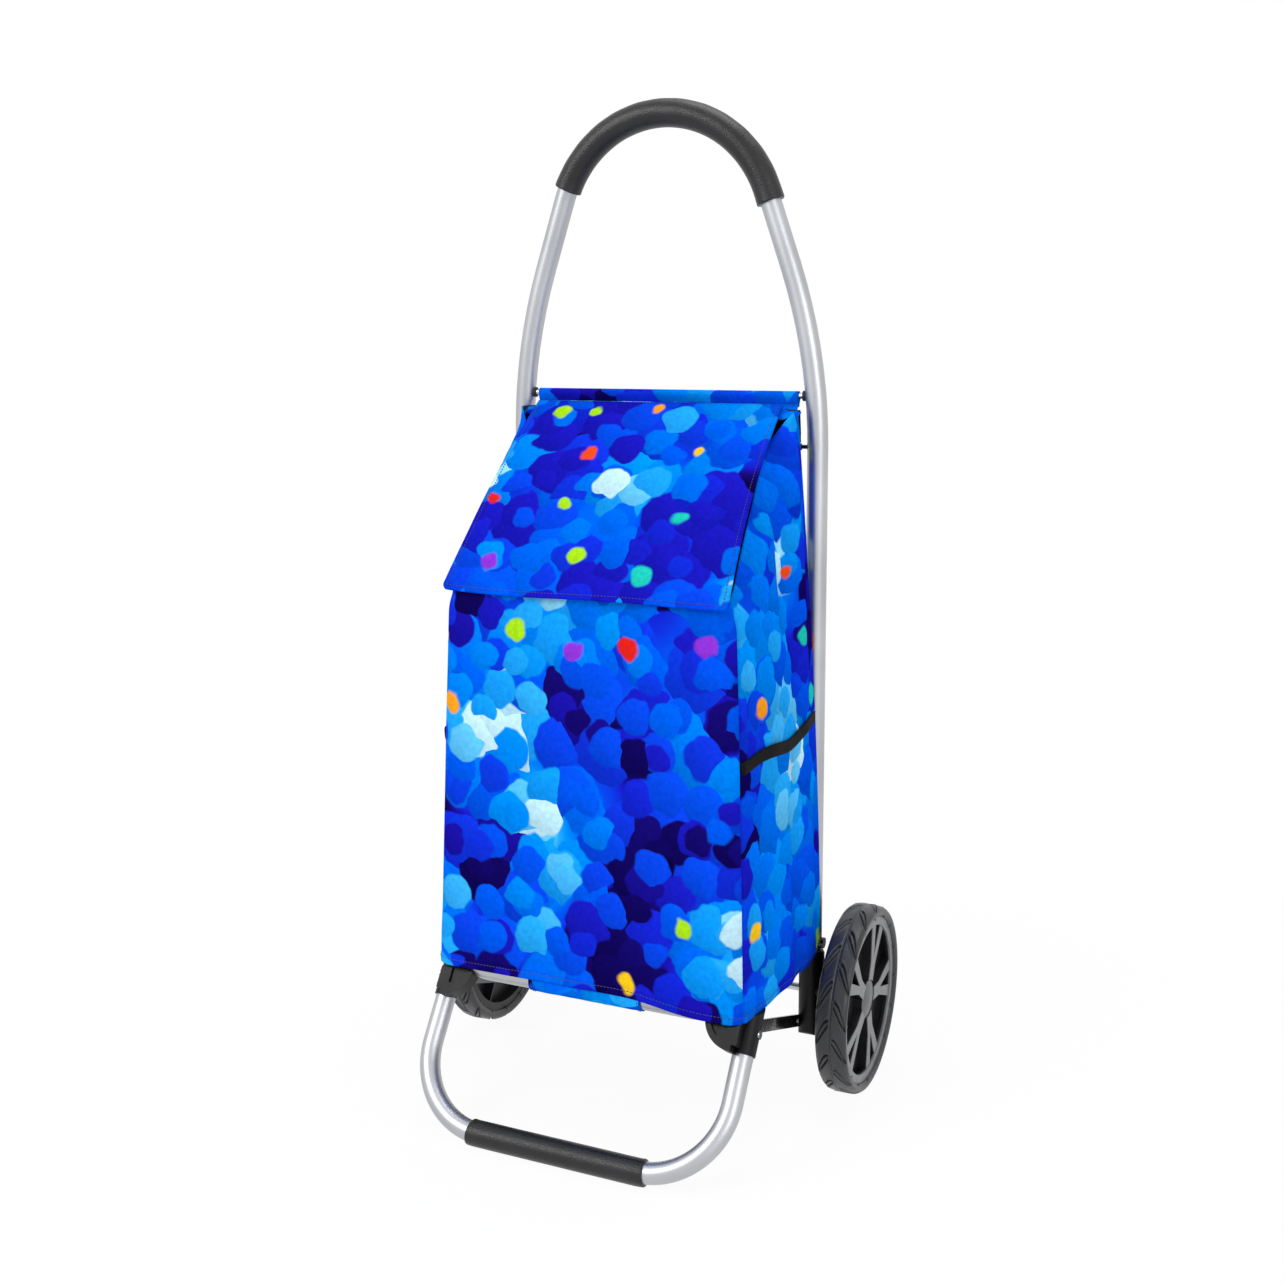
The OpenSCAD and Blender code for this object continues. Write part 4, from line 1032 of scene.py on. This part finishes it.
# ---- Rear tucks
# At both rear corners the spare width of the bag is gathered into a small stitched tuck between the
# end of the flap's seam and the back corner.
TUCK_X = 127.5
TUCK_W = 18.6
TUCK_Y = 79.0
STEPS = 12
for side, sign in (("left", -1), ("right", 1)):
    tuck_points = []
    for r in range(STEPS + 1):
        for c in range(STEPS + 1):
            back, out = r / STEPS, c / STEPS
            y = TUCK_Y - (19.0 - 5.0 * out) * back
            fold = 0.9 * sin(out * 9.0 + back * 3.0) * sin(pi * out)
            z = min(rim_height(y), 681.0) + 1.0 - 3.2 * out - 2.0 * out * back + fold
            tuck_points.append(Vector((sign * (TUCK_X + TUCK_W * out), y, z)) * MM)
    tuck = new_piece(side + "_rear_tuck", tuck_points, woven(STEPS, STEPS), canvas)
    faced(tuck, 70, (0, 0, 1))
    cut_cloth(tuck, lambda face, vertex:
        (tuck_points[vertex].x + 11.9, tuck_points[vertex].y + 0.1))
    lined(tuck, 1.1)
    bag_finish(tuck)
    seam_line = [p / MM + Vector((0, 2.2, 0.5)) for p in tuck_points[3 - STEPS - 1:]]
    tuck_stitches = stitched(side + "_tuck_stitches", [seam_line])
    bag_finish(tuck_stitches)

# ---- Side straps and corner tabs
# Black elastic webbing, 12 mm wide, sewn across each side of the bag to hold an umbrella. The same
# webbing makes the tabs that hang the bag's upper corners on the lower rod.

# Woven elastic: black, ribbed along its length, ribs drawn 1.6 mm apart, with painted shade in the
# hollows between the ribs.
webbing, tree, shader = finish("black_elastic_webbing",
    {"Roughness": 0.75, "Specular IOR Level": 0.12})
cloth = add(tree, "UVMap", uv_map="cloth").outputs["UV"]
ribs = add(tree, "TexWave", {"Vector": cloth, "Scale": 196.0}, bands_direction="Y")
picks = add(tree, "TexWave", {"Vector": cloth, "Scale": 280.0}, bands_direction="X")
both = add(tree, "Math", {0: ribs.outputs["Fac"], 1: picks.outputs["Fac"]}, operation="MULTIPLY")
# painted shade: the colour follows the rib height, darker in the hollows between the ribs
tone = add(tree, "ValToRGB", {"Fac": both}, stops=[(0.1, "#070608"), (0.9, "#171519")])
tree.links.new(tone.outputs["Color"], shader.inputs["Base Color"])
bumped(tree, shader, both, 0.0003)


def ribbon(name, line, across, wall):
    """A flat strap along a line of (middle, outward direction) pairs in mm, across wide."""
    points = []
    travelled = [0.0]
    for (a, _), (b, _) in zip(line, line[1:]):
        travelled.append(travelled[-1] + (b - a).length)
    for i, (middle, out) in enumerate(line):
        ahead = (line[min(i + 1, len(line) - 1)][0] - line[max(i - 1, 0)][0]).normalized()
        up = out.cross(ahead).normalized()
        for k in range(7):
            f = k / 3 - 1
            crown = 0.3 * (1 - f**4)
            points.append((middle + up * (across / 2 * f) + out * crown) * MM)
    strap = new_piece(name, points, woven(len(line) - 1, 6), webbing)
    faced(strap, 3, line[0][1])
    cut_cloth(strap, lambda face, vertex:
        (travelled[vertex // 7] * MM, across * MM * (vertex % 7) / 6))
    return lined(strap, wall, webbing)


def wall_at(kind, value, z, mirrored, off):
    """A place at a height on the bag's wall, off millimetres clear of it, and its outward side."""
    low, high = wall_point(kind, value, 0, mirrored).z, wall_point(kind, value, 1, mirrored).z
    out = flat_point(kind, value, z)[1]
    if mirrored:
        out.x = -out.x
    return wall_point(kind, value, (z - low) / (high - low), mirrored) + out * off, out


STRAP_Z = 377.0
STRAP_CLIMB = 11.5
STRAP_W = 12.0
for side, mirrored in (("left", True), ("right", False)):
    line = []
    for i in range(41):
        f = i / 40
        slack = 1.2 + 4.0 * sin(pi * f) ** 2 * (0.6 + 0.4 * sin(f * 9.0))
        z = STRAP_Z + STRAP_CLIMB * f + 5.0 * sin(f * 7.2 + 0.4) * sin(pi * f)
        if i < 3:
            line.append(wall_at(CORNER, CORNER_SEAM - 8 * i, z, mirrored, slack))
        else:
            line.append(wall_at(SIDE, 0.012 + 1.005 * (f - 0.05), z, mirrored, slack))
    strap = ribbon(side + "_side_strap", line, STRAP_W, 1.2)
    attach(strap, "frame")
    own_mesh(strap)
    if not mirrored:
        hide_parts("side_straps")

LOW_ROD_Z = 645.0
TAB_X = 138.4
TAB_W = 7.0
TAB_LOOP_R = 3.3
for side, sign in (("left", -1), ("right", 1)):
    line = []
    for i in range(9):
        a = radians(-60 + 300 * i / 8) - 0.9
        out = Vector((0, -cos(a), -sin(a)))
        line.append((Vector((sign * TAB_X, POST_Y, LOW_ROD_Z)) + out * TAB_LOOP_R, out))
    for i in range(1, 12):
        f = i / 11
        line.append((Vector((sign * (TAB_X + 0.4 * sin(f * 5)), POST_Y - 3.4 - 1.6 * f * (1 - f),
            LOW_ROD_Z + 2 + 33 * f)), Vector((0, -1, 0))))
    tab = ribbon(side + "_corner_tab", line, TAB_W, 1.1)
    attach(tab, "frame")
    if sign > 0:
        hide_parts("rod_straps")

# ---- Front loop
# A doubled strip of the printed canvas, sewn under the front hem, holds the bag on the platform's
# front bar.
BAR_Y = -98.45
BAR_Z = 145.0
LOOP_W = 118.0
LOOP_R = 11.3


def under_bar(radius):
    """Half a turn under the bar, from its front to its rear, as depths and heights."""
    return [(BAR_Y - radius * cos(radians(a)), BAR_Z - radius * sin(radians(a)))
        for a in range(0, 181, 12)]


section = [(BAR_Y - 10.9, FRONT_HEM_Z + 8.0), (BAR_Y - LOOP_R, FRONT_HEM_Z + 3.0)]
section += under_bar(LOOP_R)
section += [(BAR_Y + LOOP_R, FRONT_HEM_Z + 3.0), (BAR_Y + 11.0, FRONT_HEM_Z + 5.6)]
loop_points = []
cols = 48
for c in range(cols + 1):
    x = LOOP_W / 2 * (2 * c / cols - 1)
    for k, (y, z) in enumerate(section):
        slack = 0.35 * ripple(x * 0.06, k * 0.3, 6.0) + 0.25
        away = Vector((0, y - BAR_Y, min(z - BAR_Z, 0))).normalized()
        loop_points.append((Vector((x, y, z)) + away * slack) * MM)
n = len(section)
bar_loop = new_piece("bar_loop", loop_points, woven(cols, n - 1), canvas)
faced(bar_loop, n // 2, (0, 0, -1))
cut_cloth(bar_loop, lambda face, vertex: (
    loop_points[vertex].x + 7.7, 0.2 + 0.0028 * (vertex % n)))
lined(bar_loop, 1.3, canvas)
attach(bar_loop, "platform")
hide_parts("front_loop")
loop_stitches = stitched("loop_stitches", [
    [(sign * (LOOP_W / 2 - 3.2), y, z) for y, z in under_bar(LOOP_R + 0.6)] for sign in (-1, 1)])
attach(loop_stitches, "platform")

# ---- Foot grip
# The handle's foam, 25 mm thick, on the leg's foot bar: it is what the trolley stands on.
FOOT_Y = -171.05
FOOT_Z = 12.5
FOOT_R = 12.5
FOOT_HALF = 82.0
LEG_R = 76.0
LEAN = radians(36)
bar = [Vector(((FOOT_HALF + 0.5) * (2 * i / 60 - 1), 0, 0)) for i in range(61)]
bend = [Vector((FOOT_HALF + LEG_R * sin(a), 0, LEG_R * (1 - cos(a))))
    for a in (radians(i) for i in range(1, 8))]
path = [Vector((-p.x, 0, p.z)) for p in reversed(bend)] + bar[1:-1] + bend
path = [Vector((p.x, FOOT_Y + p.z * sin(LEAN), FOOT_Z + p.z * cos(LEAN))) * MM for p in path]


def foot_wear(share, turn):
    """The foam is a little flattened and uneven where it takes the load."""
    return 0.008 * noise.noise(Vector((share * 9, cos(turn) * 1.3, sin(turn) * 1.3))) - 0.004


line, radii = sleeve_profile(path, FOOT_R * MM, 1.4 * MM)
foot_foam = swept("foot_foam", line, radii, foam, 48, foot_wear)
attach(foot_foam, "leg")
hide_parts("leg_grip")

# ---- Floor and light
# A plain white sweep, a white surround for the metal to mirror, and three soft lamps.
paper, tree, shader = finish("white_floor", {"Roughness": 0.9, "Specular IOR Level": 0.0})
shader.inputs["Base Color"].default_value = colour("#FFFFFF")
glow = add(tree, "Emission", {"Color": colour("#FFFFFF"), "Strength": 1.0})
seen = add(tree, "LightPath")
direct = add(tree, "Math",
    {0: seen.outputs["Is Camera Ray"], 1: seen.outputs["Is Glossy Ray"]}, operation="MAXIMUM")
spot = add(tree, "TexCoord").outputs["Object"]
far = add(tree, "VectorMath", {0: spot}, operation="LENGTH")
clean = add(tree, "MapRange",
    {"Value": far.outputs["Value"], "From Min": 0.25, "To Min": 0.94, "To Max": 1.0},
    interpolation_type="SMOOTHSTEP")
faint = add(tree, "Math", {0: direct, 1: clean}, operation="MULTIPLY")
blend = add(tree, "MixShader", {0: faint, 1: shader.outputs["BSDF"], 2: glow})
tree.links.new(blend.outputs[0], tree.nodes["Material Output"].inputs["Surface"])
corners = ((-9, -9), (9, -9), (9, 9), (-9, 9))
sweep = new_piece("floor", [(x, y, -0.0005) for x, y in corners],
    [(0, 1, 2, 3)], paper, smooth=False)
faced(sweep, 0, (0, 0, 1))

world = bpy.data.worlds.new("studio")
world.use_nodes = True
bpy.context.scene.world = world
tree = world.node_tree
seen = add(tree, "LightPath")
clear = add(tree, "Math",
    {0: seen.outputs["Is Camera Ray"], 1: seen.outputs["Is Glossy Ray"]}, operation="MAXIMUM")
clear = add(tree, "Math", {0: clear, 1: seen.outputs["Is Transmission Ray"]}, operation="MAXIMUM")
level = add(tree, "MapRange", {"Value": clear, "To Min": 0.52, "To Max": 1.0})
back = tree.nodes["Background"]
back.inputs["Color"].default_value = colour("#FFFFFF")
tree.links.new(level.outputs["Result"], back.inputs["Strength"])

BAG_MIDDLE = 0.45
for name, place, size, power in (
    ("key", (-1.5, -2.2, 2.1), 1.4, 42.0),
    ("fill", (2.3, -1.6, 1.2), 1.6, 20.0),
    ("top", (0.2, 0.4, 2.9), 1.6, 22.0),
):
    lamp = bpy.data.lights.new(name, "AREA")
    lamp.shape = "DISK"
    lamp.size = size
    lamp.energy = power
    holder = bpy.data.objects.new(name, lamp)
    holder.location = place
    beam = Vector(place) - Vector((0, 0, BAG_MIDDLE))
    holder.rotation_euler = beam.to_track_quat("Z", "Y").to_euler()
    bpy.context.scene.collection.objects.link(holder)

bpy.context.scene.view_settings.view_transform = "Standard"
